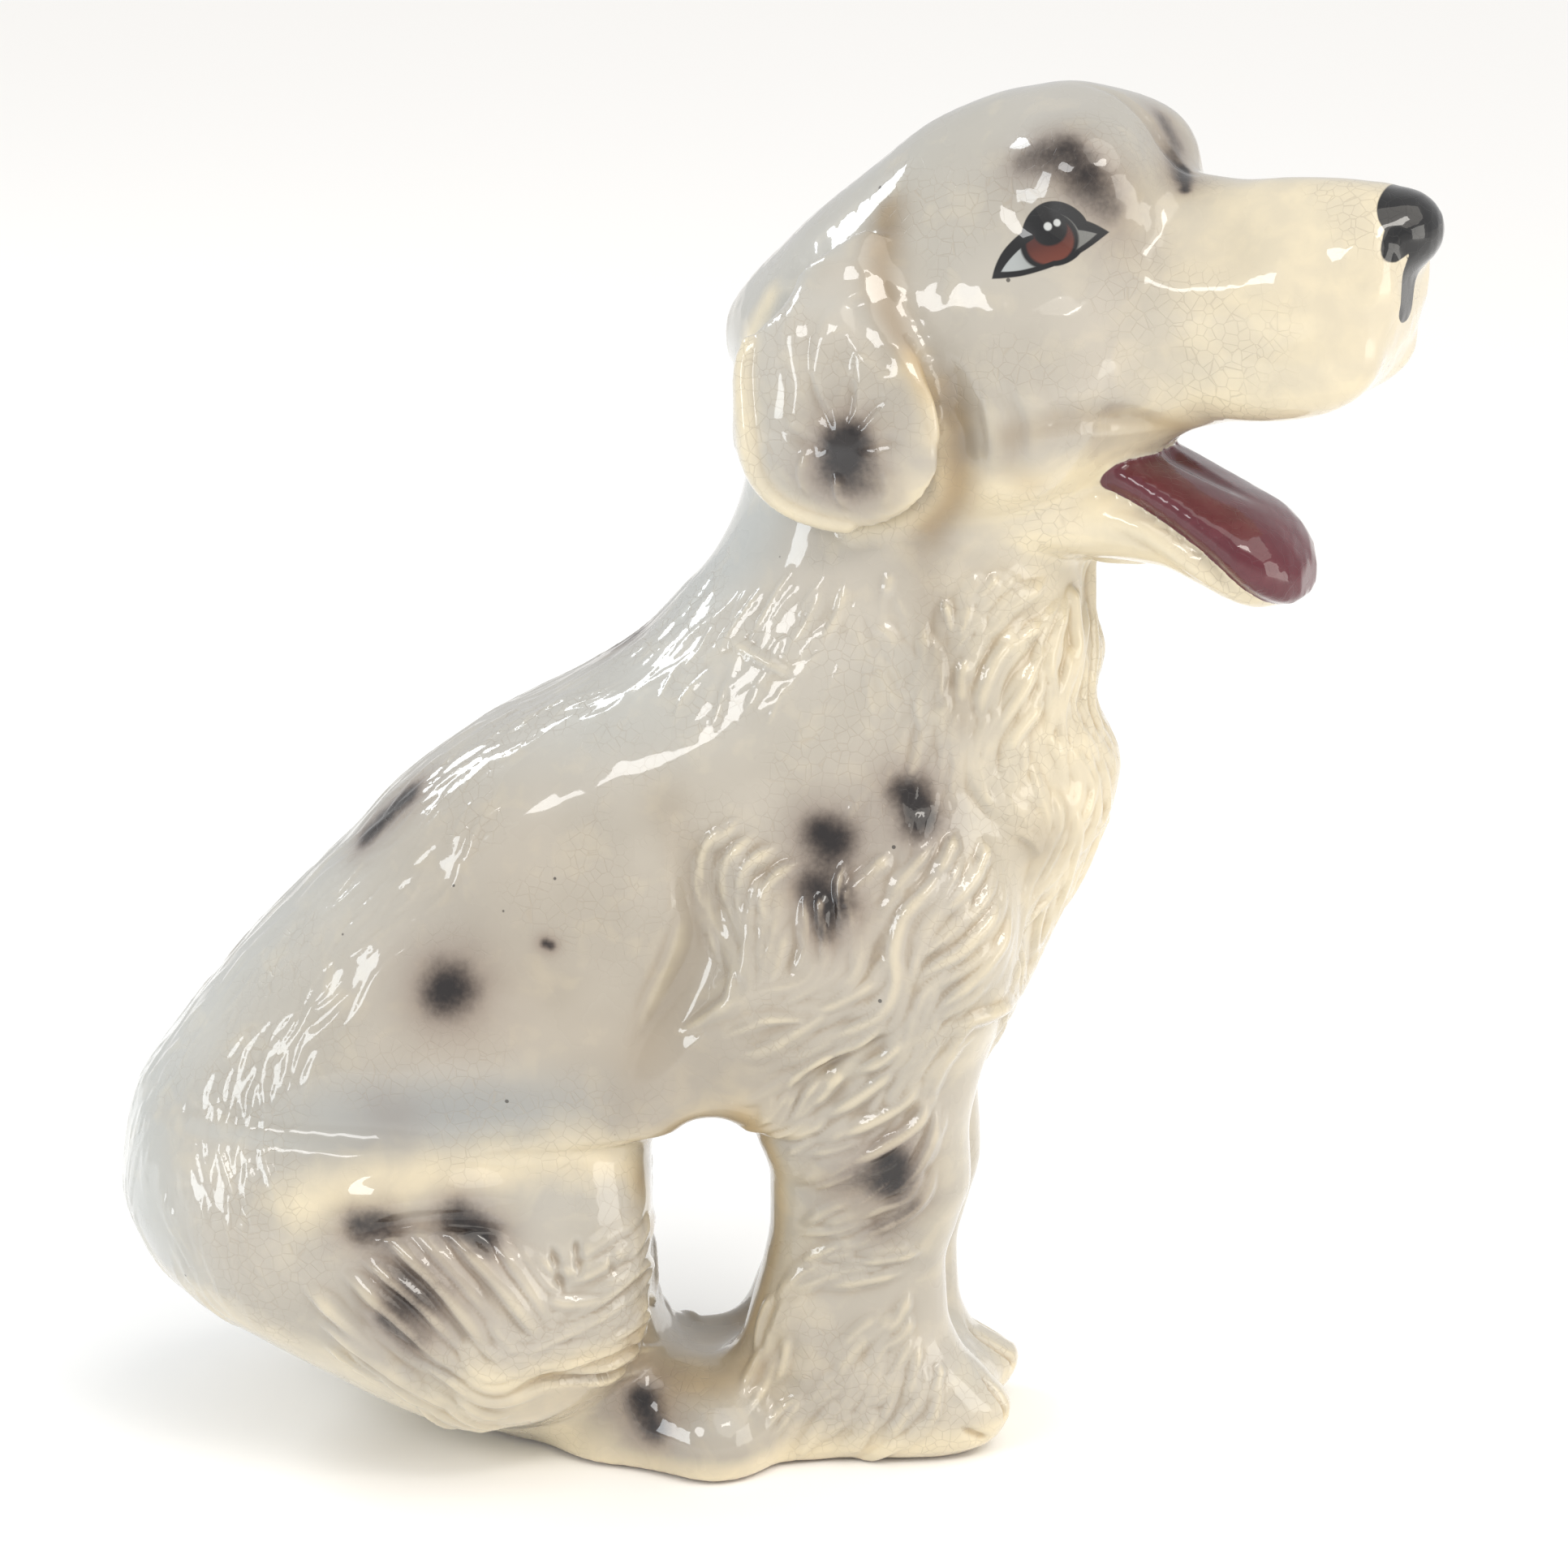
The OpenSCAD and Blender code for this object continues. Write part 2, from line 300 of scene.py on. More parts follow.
HEAD = [
    [-46, 231, 217, 9], [-38, 240, 207, 19], [-28, 249.5, 196, 27], [-14, 261, 188.5, 31.5],
    [0, 271, 186, 33, -0.05], [12, 275, 187, 32.5, -0.1], [22, 276.5, 191, 30.5, -0.12],
    [30, 275.5, 196, 28, -0.12], [37, 271.5, 202, 25, -0.1], [42, 265, 207, 22.5, -0.1],
    [47, 260.8, 211, 20, -0.08], [55, 260.3, 214, 18, -0.06], [66, 261.2, 216, 17.3, -0.06],
    [77, 262, 219, 16.5, -0.06], [84, 261.5, 223.5, 15.5, -0.05], [88, 259, 228.5, 14.5, -0.03],
    [90.5, 255, 233.5, 12.5], [91.8, 251, 238, 9.5]]
JAW = [
    [14, 206, 186, 24], [26, 205, 186, 20], [36, 204, 186, 16], [46, 199.5, 185.5, 15],
    [54, 195, 182.5, 14], [60, 190.5, 180, 12.5], [64, 187, 179, 10], [67, 184.5, 179.5, 7],
    [69, 183, 180.5, 4]]
TONGUE = [
    [22, 210, 203, 10], [30, 210.5, 202, 13], [40, 208, 199, 14.5], [50, 203.8, 194, 15],
    [56, 201, 190, 15.5], [62, 198.5, 185, 15.5], [67, 195.5, 181.5, 13.5], [70.5, 192, 180.5, 10],
    [73, 188, 182, 5]]
EAR = [(-4, -31, 247), (-7, -36, 238), (-8, -40, 222), (-8, -41, 213)]


def add_lumps(clay, side, lumps, head=False):
    """Adds right-side forms, or on the left their mirror images. With head, they are in the head's frame.

    A lump is its piece, the low and high corner of its box with y outward, its form, and how far it blends.
    """
    for name, low, high, form, blend in lumps:
        near, far = sorted((side * low[1], side * high[1]))
        box = (low[0], near, low[2]), (high[0], far, high[2])
        form = form if side < 0 else mirrored(form)
        if head:
            box, form = head_box(*box), on_head(form)
        clay.add(name, box, form, blend)


def add_legs(clay, side, word):
    ahead, back = (LEFT_AHEAD, -LEFT_HAUNCH_BACK) if side > 0 else (0, 0)
    leg = level_form(FORELEG if side < 0 else LEFT_FORELEG, 2.3)
    shoulder = ball((16, -28, 114), (29, 15, 30), pitch=-8)
    elbow = ball((-5, -32, 98), (14, 10.5, 17), pitch=14)
    haunch = ball((-60, -27, 41), (34, 21, 30), pitch=10)
    thigh = ball((-43, -22, 56), (18, 19, 24), pitch=-14)
    foot = limb(HIND_FOOT_RIGHT if side < 0 else HIND_FOOT_LEFT, (9.5, 11.5, 11.5))
    inner = 2 if side < 0 else -2  # the left foot's box reaches past the middle
    add_lumps(clay, side, [
        ("foreleg_" + word, (-18, 0, 0), (52, 40, 138), shifted(leg, dx=ahead, dy=-FORELEG_Y), 12),
        ("foreleg_" + word, (-18, 10, 80), (50, 46, 146), shifted(shoulder, dx=ahead), 7),
        ("foreleg_" + word, (-22, 10, 78), (12, 46, 118), shifted(elbow, dx=ahead), 6),
        ("haunch_" + word, (-106, 2, 4), (-20, 52, 80), shifted(haunch, dx=back), 5),
        ("haunch_" + word, (-66, 2, 30), (-20, 52, 84), shifted(thigh, dx=back), 9),
        ("hind_foot_" + word, (-86, inner, 0), (2, inner + 54, 28), foot, 9)])


def add_face(clay, side, word):
    brow = ball((31.5, -15, 262), (11, 10, 9.5), pitch=20)
    cheek = ball((16, -24, 222), (22, 11, 22))
    lip = ball((70, -10.5, 228), (19, 8, 10), yaw=-3, pitch=-8)
    ear = limb(EAR, (6, 11.5, 21, 21.5), (1, 0.24, 0.8))
    add_lumps(clay, side, [
        ("head", (20, 4, 250), (48, 26, 276), brow, 9),
        ("head", (-8, 12, 198), (40, 37, 246), cheek, 10),
        ("head", (48, 2, 216), (92, 20, 240), lip, 6),
        ("ear_" + word, (-34, 27, 192), (18, 48, 262), ear, 3)], head=True)


def leg_gap(x, y, z):
    """The hole right through the figure, between belly, thighs and forelegs."""
    return oval(x + 15.2, z - 50, 9.8, 26.5, 2.6)


def drain(x, y, z):
    return np.maximum(np.hypot(x - DRAIN_X, y) - DRAIN_RADIUS, z - 3.5)


def build_clay():
    clay = Clay((-142, -62, -4), (132, 72, 284), CELL)
    clay.add("body", ((-136, -48, 0), (68, 48, 232)), level_form(BODY), 4)
    add_legs(clay, -1, "right")
    add_legs(clay, 1, "left")
    clay.add("base_web", ((-46, -26, 0), (16, 16, 20)), slab((-16, -3, 5.5), (27, 19, 13), 8), 10)
    clay.add("tail", ((-132, 8, 0), (-20, 66, 66)), limb(TAIL, (11.5, 11, 10.5, 9.5, 8.5, 6.5)), 4)
    clay.add("head", head_box((-48, -36, 184), (98, 36, 278)), on_head(station_form(HEAD)), 7)
    add_face(clay, -1, "right")
    add_face(clay, 1, "left")
    clay.add("lower_jaw", head_box((12, -26, 176), (70, 26, 208)), on_head(station_form(JAW)), 4)
    clay.add("tongue", head_box((20, -16, 178), (80, 16, 212)), on_head(station_form(TONGUE, 2.6)), 2.2)
    nose = ball((87.8, 0, 253), (8.8, 10, 8))
    clay.add("nose", head_box((80, -11, 242), (100, 11, 264)), on_head(nose), 2.5)
    clay.add("base_web", ((4, -14, 0), (48, 18, 24)), ball((27, 1, 5), (15, 10, 13)), 8)
    clay.carve(((-34, -60, 20), (4, 60, 84)), leg_gap, 8)
    clay.carve(((-142, -62, -4), (132, 72, 0)), lambda x, y, z: z, 0.6)
    clay.carve(((-56, -9, -4), (-38, 9, 4)), drain, 0.8)
    return clay


# ---------------------------------------------------------------- meshes by numbers

def sides_of(quads):
    """The sides of all quads, each as its two ends in rising order."""
    sides = np.stack([quads, np.roll(quads, -1, axis=1)], axis=2).reshape(-1, 2)
    sides.sort(axis=1)
    return sides


def subdivided(points, quads):
    """Splits each quad into four."""
    sides = sides_of(quads)
    keys = sides[:, 0] * len(points) + sides[:, 1]
    unique, inverse = np.unique(keys, return_inverse=True)
    middles = (points[unique // len(points)] + points[unique % len(points)]) / 2
    centres = points[quads].mean(axis=1)
    middle = (len(points) + inverse).reshape(-1, 4)
    centre = len(points) + len(middles) + np.arange(len(quads))
    fours = [np.stack([quads[:, i], middle[:, i], centre, middle[:, i - 1]], axis=1) for i in range(4)]
    return np.vstack([points, middles, centres]), np.vstack(fours)


def edges_of(quads):
    return np.unique(sides_of(quads), axis=0)


def average_of_neighbours(values, edges, count):
    a, b = edges[:, 0], edges[:, 1]
    total = np.stack([np.bincount(a, values[b, i], count) + np.bincount(b, values[a, i], count)
                      for i in range(values.shape[1])], axis=1)
    number = np.bincount(a, minlength=count) + np.bincount(b, minlength=count)
    return total / number[:, None]


def smoothed(points, edges, rounds, keep_size=True):
    for _ in range(rounds):
        for push in ((0.5, -0.52) if keep_size else (0.5,)):
            points = points + push * (average_of_neighbours(points, edges, len(points)) - points)
    return points


def normals_of(points, quads):
    a, b, c, d = (points[quads[:, i]] for i in range(4))
    flat = np.cross(c - a, d - b)
    total = np.stack([np.bincount(quads.ravel(), np.repeat(side, 4), len(points)) for side in flat.T], axis=1)
    return total / np.maximum(np.linalg.norm(total, axis=1), 1e-12)[:, None]


# ---------------------------------------------------------------- strokes over the skin

# Strokes are drawn as the figure looks to a viewer at its side, on an upright plane just at the body, the
# head or the ear, and then laid onto the skin along the viewer's lines of sight.
VIEWER_Y, VIEWER_Z = -961.0, 411.0
SIDE_PLANE = -38.0
HEAD_PLANE = -22.0
EAR_PLANE = -38.0


def rounded(points, pieces=6):
    """A smooth line (Catmull-Rom) through a few points."""
    p = np.array(points, float)
    if len(p) < 3:
        return np.array([p[0] + (p[-1] - p[0]) * t for t in np.linspace(0, 1, pieces + 1)])
    p = np.vstack([2 * p[0] - p[1], p, 2 * p[-1] - p[-2]])
    line = []
    for a, b, c, d in zip(p, p[1:], p[2:], p[3:]):
        for t in np.arange(pieces) / pieces:
            bend = (2 * a - 5 * b + 4 * c - d) * t**2 + (3 * b - a - 3 * c + d) * t**3
            line.append(0.5 * (2 * b + (c - a) * t + bend))
    line.append(p[-2])
    return np.array(line)


def lay(origin, targets):
    """Where lines from origin through targets meet the skin."""
    origin = Vector(origin)
    hits = []
    for target in targets:
        place = TREE.ray_cast(origin, (Vector(target) - origin).normalized())[0]
        if place is not None:
            hits.append(tuple(place))
    return np.array(hits)


def on_side(points, side, plane=SIDE_PLANE):
    """Lays (x, z) points on the dog's right (-1) or left (1) side."""
    return lay((0, -side * VIEWER_Y, VIEWER_Z), [(x, -side * plane, z) for x, z in points])


def on_face(points, side, plane=HEAD_PLANE):
    """Lays (x, z) points of the head frame on one side of the head."""
    viewer = np.array(head_coords(0, VIEWER_Y, VIEWER_Z))
    viewer[1] *= -side
    return lay(head_point(*viewer), [head_point(x, -side * plane, z) for x, z in points])


def on_front(points, side=-1):
    """Lays (y, z) points on the chest, from the front."""
    return lay((900, 0, 200), [(40, -side * y, z) for y, z in points])


def on_back(points):
    """Lays points on the back, from behind and above."""
    return lay((-800, 0, 520), points)


def smooth_step(t):
    t = np.clip(t, 0, 1)
    return t * t * (3 - 2 * t)


class Relief:
    """Heights over the skin: locks of hair stand up, tool marks cut in, and broad strokes change the form."""

    BROAD = 8.0  # strokes wider than this change the form
    BIN = 8.0  # the size of the cells that the vertices are sorted into

    def __init__(self, points, normals):
        self.points, self.normals = points, normals
        self.up, self.down, self.form = np.zeros((3, len(points)))
        self.low = points.min(axis=0) - self.BIN
        self.size = ((points.max(axis=0) + 2 * self.BIN - self.low) / self.BIN).astype(int) + 2
        keys = self.key(((points - self.low) / self.BIN).astype(int))
        self.order = np.argsort(keys, kind="stable")
        self.keys = keys[self.order]

    def key(self, cell):
        return (cell[..., 0] * self.size[1] + cell[..., 1]) * self.size[2] + cell[..., 2]

    def close_to(self, path, reach):
        steps = math.ceil(reach / self.BIN)
        near = np.indices((2 * steps + 1,) * 3).reshape(3, -1).T - steps
        cells = ((path - self.low) / self.BIN).astype(int)
        wanted = np.unique(self.key(np.clip(cells[:, None, :] + near, 0, self.size - 1)))
        first, last = np.searchsorted(self.keys, wanted), np.searchsorted(self.keys, wanted, side="right")
        return np.concatenate([self.order[a:b] for a, b in zip(first, last)] or [np.zeros(0, int)])

    def measure(self, path, reach):
        """Vertices within reach of a path: their index, distance, side and place along it (0 to 1)."""
        index = self.close_to(path, reach)
        p = self.points[index]
        a, leg = path[:-1], np.diff(path, axis=0)
        length = np.linalg.norm(leg, axis=1)
        t = np.clip(((p[:, None] - a) * leg).sum(axis=2) / np.maximum(length**2, 1e-9), 0, 1)
        off = p[:, None] - a - t[..., None] * leg
        gap = np.linalg.norm(off, axis=2)
        best = gap.argmin(axis=1)
        rows = np.arange(len(p))
        gap = gap[rows, best]
        keep = gap < reach
        index, best, gap, rows = index[keep], best[keep], gap[keep], rows[keep]
        across = np.cross(self.normals[index], leg[best])
        side = np.sign((off[rows, best] * across).sum(axis=1))
        start = np.concatenate([[0], np.cumsum(length)])
        along = (start[best] + t[rows, best] * length[best]) / max(start[-1], 1e-9)
        return index, gap, side, along

    def stroke(self, path, width, height, ends=(0.3, 0.4), lean=0.0, thin=0.45):
        """A ridge or a cut that thins and fades over its ends, which are shares of its length."""
        if len(path) < 2:
            return
        index, gap, side, along = self.measure(path, width * (0.5 + 0.5 * abs(lean)) + 0.1)
        fade = smooth_step(along / ends[0]) * smooth_step((1 - along) / ends[1])
        half = width / 2 * (thin + (1 - thin) * fade) * (1 + lean * side)
        bump = np.clip(1 - (gap / half) ** 2, 0, 1) ** 1.5 * fade * height
        if width > self.BROAD:
            self.form[index] += bump
        elif height > 0:
            self.up[index] = np.maximum(self.up[index], bump)
        else:
            self.down[index] = np.minimum(self.down[index], bump)


class Flow:
    """The way the hair runs, from a few guide lines."""

    def __init__(self, paths):
        self.place = np.vstack([(p[1:] + p[:-1]) / 2 for p in paths])
        leg = np.vstack([np.diff(p, axis=0) for p in paths])
        self.way = leg / np.maximum(np.linalg.norm(leg, axis=1), 1e-6)[:, None]

    def __call__(self, point):
        weight = np.exp(-((self.place - point) ** 2).sum(axis=1) / 40.0) + 1e-12
        return weight @ self.way

    def lock(self, length, spread, curl, wave):
        """One lock: starts beside a guide line and runs with the flow, in waves."""
        i = RNG.integers(len(self.place))
        place, normal = TREE.find_nearest(Vector(self.place[i]))[:2]
        across = np.cross(normal, self.way[i])
        point = np.array(place) + across * RNG.uniform(-spread, spread)
        phase, pace = RNG.uniform(0, 2 * math.pi), RNG.uniform(0.8, 1.25)
        path, step = [], 1.6
        for k in range(max(3, int(length / step))):
            place, normal = TREE.find_nearest(Vector(point))[:2]
            place, normal = np.array(place), np.array(normal)
            path.append(place)
            way = self(place)
            way = way - normal * way.dot(normal)
            way /= max(np.linalg.norm(way), 1e-6)
            swing = curl * math.sin(phase + 2 * math.pi * k * step * pace / wave)
            point = place + step * (way * math.cos(swing) + np.cross(normal, way) * math.sin(swing))
        return np.array(path)


def fur(paths, count, length, width, height, spread, curl, wave):
    """Locks of hair that follow a few paths."""
    paths = [p for p in paths if len(p) > 1]
    flow = Flow(paths)
    for _ in range(count):
        path = flow.lock(length * RNG.uniform(0.6, 1.2), spread, curl, wave)
        relief.stroke(path, width * RNG.uniform(0.7, 1.3), HIGHER * height * RNG.uniform(0.5, 1.1),
                      lean=RNG.uniform(-0.4, 0.4))


# Strokes: width and height in millimetres, where a cut's height is negative, and the points of the path.
THROAT = [
    (5, 1.4, [(47, 178), (41, 173), (38, 167), (37, 162), (38, 155)]), (4.5, 1.3, [(50, 165), (45, 159),
    (43, 155), (44, 149)]), (4, 1.2, [(49, 173), (45, 166), (41, 159), (40, 152)]), (4, 1.3, [(37, 172),
    (34, 171), (33, 166), (34, 159)]), (3, 0.9, [(40, 169), (39, 165), (37, 160)]), (2.5, 1.1, [(30, 184),
    (31, 179), (32, 174)]), (2.5, 1.1, [(35, 184), (34, 179), (32, 174)]), (3.5, 0.9, [(41, 189), (37, 184),
    (34, 182)]), (4, 1.1, [(50, 180), (44, 175), (39, 171)]), (4, 0.9, [(50, 187), (44, 183), (39, 178)]),
    (5, 1.2, [(54, 186), (51, 176), (50, 169), (53, 163)]), (5, 1.0, [(57, 185), (56, 176), (55, 166),
    (56, 160)]), (4, 1.1, [(63, 152), (60, 140), (51, 128)]), (4, 1.0, [(59, 152), (58, 144), (55, 136)]),
    (3, 0.9, [(41, 145), (45, 142), (49, 141)]), (3.5, 0.9, [(51, 146), (52, 140), (51, 134)]),
    (3, 0.9, [(46, 158), (45, 153), (46, 147)])]
NECK = [
    (3, 0.5, [(16, 179), (20, 176), (21, 171)]), (3, 0.5, [(26, 179), (26, 173), (28, 169)]),
    (3, 0.5, [(20, 189), (19, 183)]), (3.5, 0.6, [(27, 162), (25, 152), (22, 145)]), (3.5, 0.6, [(31, 159),
    (30, 150), (29, 143)]), (2.5, 0.5, [(2, 190), (-3, 181), (-8, 172)]), (2.5, 0.5, [(8, 188), (4, 178),
    (-2, 170)]), (2.5, 0.5, [(-3, 187), (-9, 178), (-14, 170)]), (2.5, 0.5, [(12, 188), (10, 180),
    (5, 172)])]
CHEST = [
    (4, 1.2, [(-4, 138), (-10, 133), (-12, 127), (-11, 121), (-8, 118)]), (4, 1.2, [(0, 135), (-7, 131),
    (-9, 125), (-8, 120)]), (4, 1.2, [(5, 132), (-1, 129), (-4, 124), (-3, 118), (-4, 114)]),
    (3.5, 0.9, [(7, 126), (7, 120), (8, 115)]), (4, 1.1, [(15, 129), (12, 125), (13, 119), (10, 114)]),
    (4, 0.9, [(21, 134), (16, 128), (16, 122)]), (5, 1.5, [(32, 138), (29, 128), (23, 121), (21, 114),
    (21, 107), (18, 101), (9, 96), (0, 91)]), (4, 1.2, [(37, 136), (37, 130), (33, 124), (26, 118)]),
    (4.5, 1.3, [(41, 128), (40, 121), (34, 114), (27, 109), (26, 104)]), (4.5, 1.3, [(44, 124), (42, 116),
    (37, 109), (30, 102), (28, 96)]), (4.5, 1.2, [(49, 114), (43, 103), (33, 98), (28, 91)]),
    (4, 1.1, [(21, 111), (15, 106), (7, 102), (0, 101)]), (4, 1.1, [(33, 138), (31, 133), (28, 126)]),
    (4, 1.1, [(37, 136), (38, 133), (35, 126)])]
LEG = [
    (3.5, 1.1, [(12, 92), (10, 88), (7, 84), (3, 80)]), (3.5, 1.0, [(12, 93), (6, 91), (1, 87), (2, 83)]),
    (4, 1.2, [(23, 92), (18, 87), (10, 81), (5, 79)]), (4, 1.3, [(28, 90), (23, 83), (15, 78), (6, 74)]),
    (4, 1.3, [(28, 87), (26, 79), (18, 73), (7, 68)]), (4, 1.2, [(30, 84), (28, 74), (23, 66), (14, 61)]),
    (4, 1.2, [(27, 74), (24, 64), (18, 61), (10, 56)]), (4, 1.1, [(30, 71), (26, 62), (19, 57), (10, 53)]),
    (3.5, 1.0, [(28, 52), (22, 51), (11, 49)]), (3.5, 0.9, [(25, 48), (16, 46), (5, 44)]),
    (3.5, 0.8, [(25, 44), (22, 37), (17, 33)]), (3.5, 0.8, [(25, 40), (23, 34), (16, 30)]),
    (3.5, 0.8, [(26, 36), (22, 27), (17, 19)]), (3.5, 0.8, [(23, 31), (21, 23), (13, 17)]),
    (3.5, 0.8, [(20, 34), (18, 24), (11, 11)]), (3.5, 0.8, [(14, 30), (12, 20), (4, 10)]),
    (3.5, 0.7, [(27, 30), (27, 22), (22, 13)]), (4, 0.5, [(5, 44), (1, 39), (-2, 31)]),
    (3.5, 0.6, [(17, 28), (11, 23), (6, 19)])]
HAUNCH = [
    (6, 1.7, [(-80, 56), (-69, 46), (-61, 35), (-58, 27)]), (6, 1.7, [(-68, 57), (-58, 47), (-50, 36),
    (-47, 28)]), (6, 1.7, [(-88, 48), (-74, 36), (-61, 23)]), (5.5, 1.5, [(-93, 38), (-78, 27), (-68, 18)]),
    (5, 1.5, [(-84, 51), (-71, 40), (-62, 28)]), (5, 1.3, [(-58, 55), (-50, 43), (-45, 33)]),
    (5, 1.3, [(-74, 57), (-64, 46), (-55, 33)]), (5, 1.2, [(-96, 46), (-84, 34), (-73, 24)]),
    (3.5, 1.0, [(-57, 24), (-49, 31), (-39, 36), (-27, 44)]), (3.5, 1.0, [(-54, 24), (-45, 30), (-35, 33),
    (-26, 39)]), (3.2, 0.9, [(-49, 25), (-39, 29), (-29, 33)]), (3.2, 0.9, [(-47, 24), (-37, 26),
    (-28, 29)]), (3.5, 0.9, [(-50, 34), (-43, 37), (-35, 42), (-26, 50)]), (3.5, 0.7, [(-44, 44), (-36, 48),
    (-28, 56)])]
BACK_BAND = [
    [(-50, 152), (-62, 146), (-73, 137), (-82, 130), (-92, 119), (-103, 106), (-112, 92), (-118, 78),
    (-119, 60), (-114, 44)], [(-60, 150), (-82, 126), (-95, 108), (-105, 92), (-110, 72), (-108, 58)],
    [(-58, 150), (-68, 134), (-76, 122), (-90, 106), (-100, 92), (-102, 78)]]
SIDE_CUTS = [
    (14, -2.5, [(-22, 142), (-18, 132), (-16, 121), (-19, 111), (-23, 102), (-27, 92), (-31, 82)]),
    (5, -0.5, [(30, 186), (29, 179), (31, 172), (32, 164), (35, 157)]), (15, -1.1, [(-104, 78), (-83, 78),
    (-66, 77), (-48, 79), (-34, 76)]), (4.5, -0.9, [(-86, 54), (-72, 57), (-58, 57), (-50, 53)]),
    (4, -1.2, [(-56, 21), (-46, 24), (-36, 25), (-29, 29)]), (2.5, -0.7, [(-46, 54), (-44, 45), (-43, 41)]),
    (2.5, -0.7, [(-41, 55), (-40, 45)]), (2, -0.5, [(-34, 52), (-34, 46)]), (5, -1.0, [(22, 98), (14, 92),
    (2, 88)]), (9, -1.0, [(2, 36), (-2, 26), (-2, 14)]), (2.6, -0.8, [(46, 13), (40, 12), (34, 15)]),
    (2.6, -0.8, [(47, 7), (41, 5), (35, 6)])]
SIDE_RIDGES = [
    (6, 0.9, [(-19, 123), (-21, 113), (-25, 104), (-30, 94)]), (9, 1.0, [(-92, 58), (-76, 62), (-60, 64),
    (-46, 63)]), (3, 0.6, [(-12, 176), (-4, 171), (4, 167)])]
EAR_RIM = [
    (0, 244), (3, 236), (7, 228), (10.5, 221), (12.5, 212), (12, 204), (7, 199), (-2, 196), (-11, 195.5),
    (-20, 198), (-26, 204), (-28, 215), (-28, 227), (-23, 238)]
EAR_HAIR = [
    (6, 0.4, [(-16, 242), (-19, 232), (-17, 220), (-20, 206)]), (6, 0.4, [(-8, 240), (-12, 230), (-13, 222),
    (-11, 216)]), (6, 0.35, [(-2, 232), (-4, 225), (-4, 218)]), (3, -0.4, [(-6, 213), (-2, 218), (3, 222)]),
    (3, -0.4, [(-7, 214), (-6, 220), (-5, 227)]), (3, -0.4, [(-9, 213), (-13, 219), (-15, 226)]),
    (3, -0.4, [(-5, 210), (1, 212), (6, 213)]), (3, -0.4, [(-10, 210), (-16, 211), (-21, 214)]),
    (3.5, 0.6, [(-9, 206), (-8, 201), (-5, 198)]), (3.5, 0.5, [(-15, 210), (-16, 204), (-13, 199)]),
    (3.5, 0.4, [(1, 208), (2, 203), (-1, 199)])]
FACE_CUTS = [
    (9, -1.2, [(1.5, 256), (0.5, 247), (2, 239), (6, 232), (11, 225.5), (14.5, 218.5), (15.5, 210),
    (15, 203), (11, 197)]), (7, -0.6, [(-6, 240), (-2, 231), (4, 225)])]
MUZZLE_CUTS = [
    (7, -0.9, [(20, 212), (28, 215), (36, 216.5), (46, 217), (54, 217)]), (15, -0.8, [(44, 247), (58, 250),
    (74, 251)]), (8.5, -0.6, [(14, 242), (20, 239), (30, 240), (40, 246)])]
EAR_GROOVE, ELBOW_FOLD, MOUTH_LINE = FACE_CUTS[0][2], SIDE_CUTS[0][2], MUZZLE_CUTS[0][2]
MUZZLE_RIDGES = [
    (22, 1.7, [(42, 232), (54, 238), (68, 241.5), (80, 241), (86, 237)]), (6, 0.6, [(20, 225), (25, 215),
    (24, 205)]), (5, 0.6, [(14, 222), (17, 211), (16, 202)]), (5, 0.7, [(38, 199), (48, 196), (58, 190),
    (66, 185)])]
CHEST_FRONT = [
    (5, 1.3, [(-17, 186), (-15, 170), (-19, 156), (-14, 142)]), (5, 1.3, [(-8, 190), (-6, 173), (-10, 156),
    (-5, 140), (-8, 124)]), (5, 1.2, [(-1, 184), (2, 168), (-2, 152), (2, 136)]), (4.5, 1.2, [(-21, 140),
    (-16, 124), (-11, 110), (-8, 97)]), (4.5, 1.2, [(-12, 134), (-7, 118), (-4, 102)]),
    (4.5, 1.1, [(-2, 134), (0, 116), (1, 98)]), (4, 1.1, [(-25, 112), (-19, 100), (-12, 90)])]
SPINE = [
    (-14, 184), (-22, 173), (-42, 158), (-62, 146), (-88, 122), (-112, 92), (-126, 74), (-131, 56),
    (-126, 42)]
TAIL_LINE = [(-116, 46), (-104, 34), (-88, 21), (-70, 12), (-55, 9), (-44, 7)]
PAW_TOES = [
    (2.2, -0.9, [(-9.5, 20), (-8.5, 12), (-8.5, 5)]), (2.2, -0.9, [(-17, 19), (-18, 11), (-18, 5)])]

BREAST = [
    (16, 1.5, [(-14, 143), (0, 141), (14, 143)]), (11, -0.9, [(-12, 154), (0, 153), (12, 154)]),
    (11, 0.9, [(-10, 164), (0, 163), (10, 164)])]
TONGUE_GROOVE = [(36, 209), (46, 206), (56, 201), (64, 197)]
WIDER, HIGHER = 1.15, 1.5


def lay_strokes(table, place, *where, ends=(0.3, 0.4)):
    """Lays the strokes of a table with one of the functions above, and gives their paths."""
    paths = []
    for width, height, points in table:
        path = place(rounded(points), *where)
        relief.stroke(path, width * WIDER, height * HIGHER, ends, lean=0.25)
        paths.append(path)
    return paths


# Hair that is combed in along strokes: how many locks, their length, width, height, spread, curl and wave.
SIDE_HAIR = [
    (THROAT, 130, 26, 3.8, 0.85, 5, 0.25, 30), (NECK, 100, 17, 2.4, 0.3, 6, 0.3, 22),
    (CHEST, 180, 27, 4.2, 0.9, 5.5, 0.25, 30), (LEG, 130, 20, 3.4, 0.75, 4.5, 0.2, 28),
    (HAUNCH, 110, 27, 3.6, 0.8, 5, 0.2, 28)]


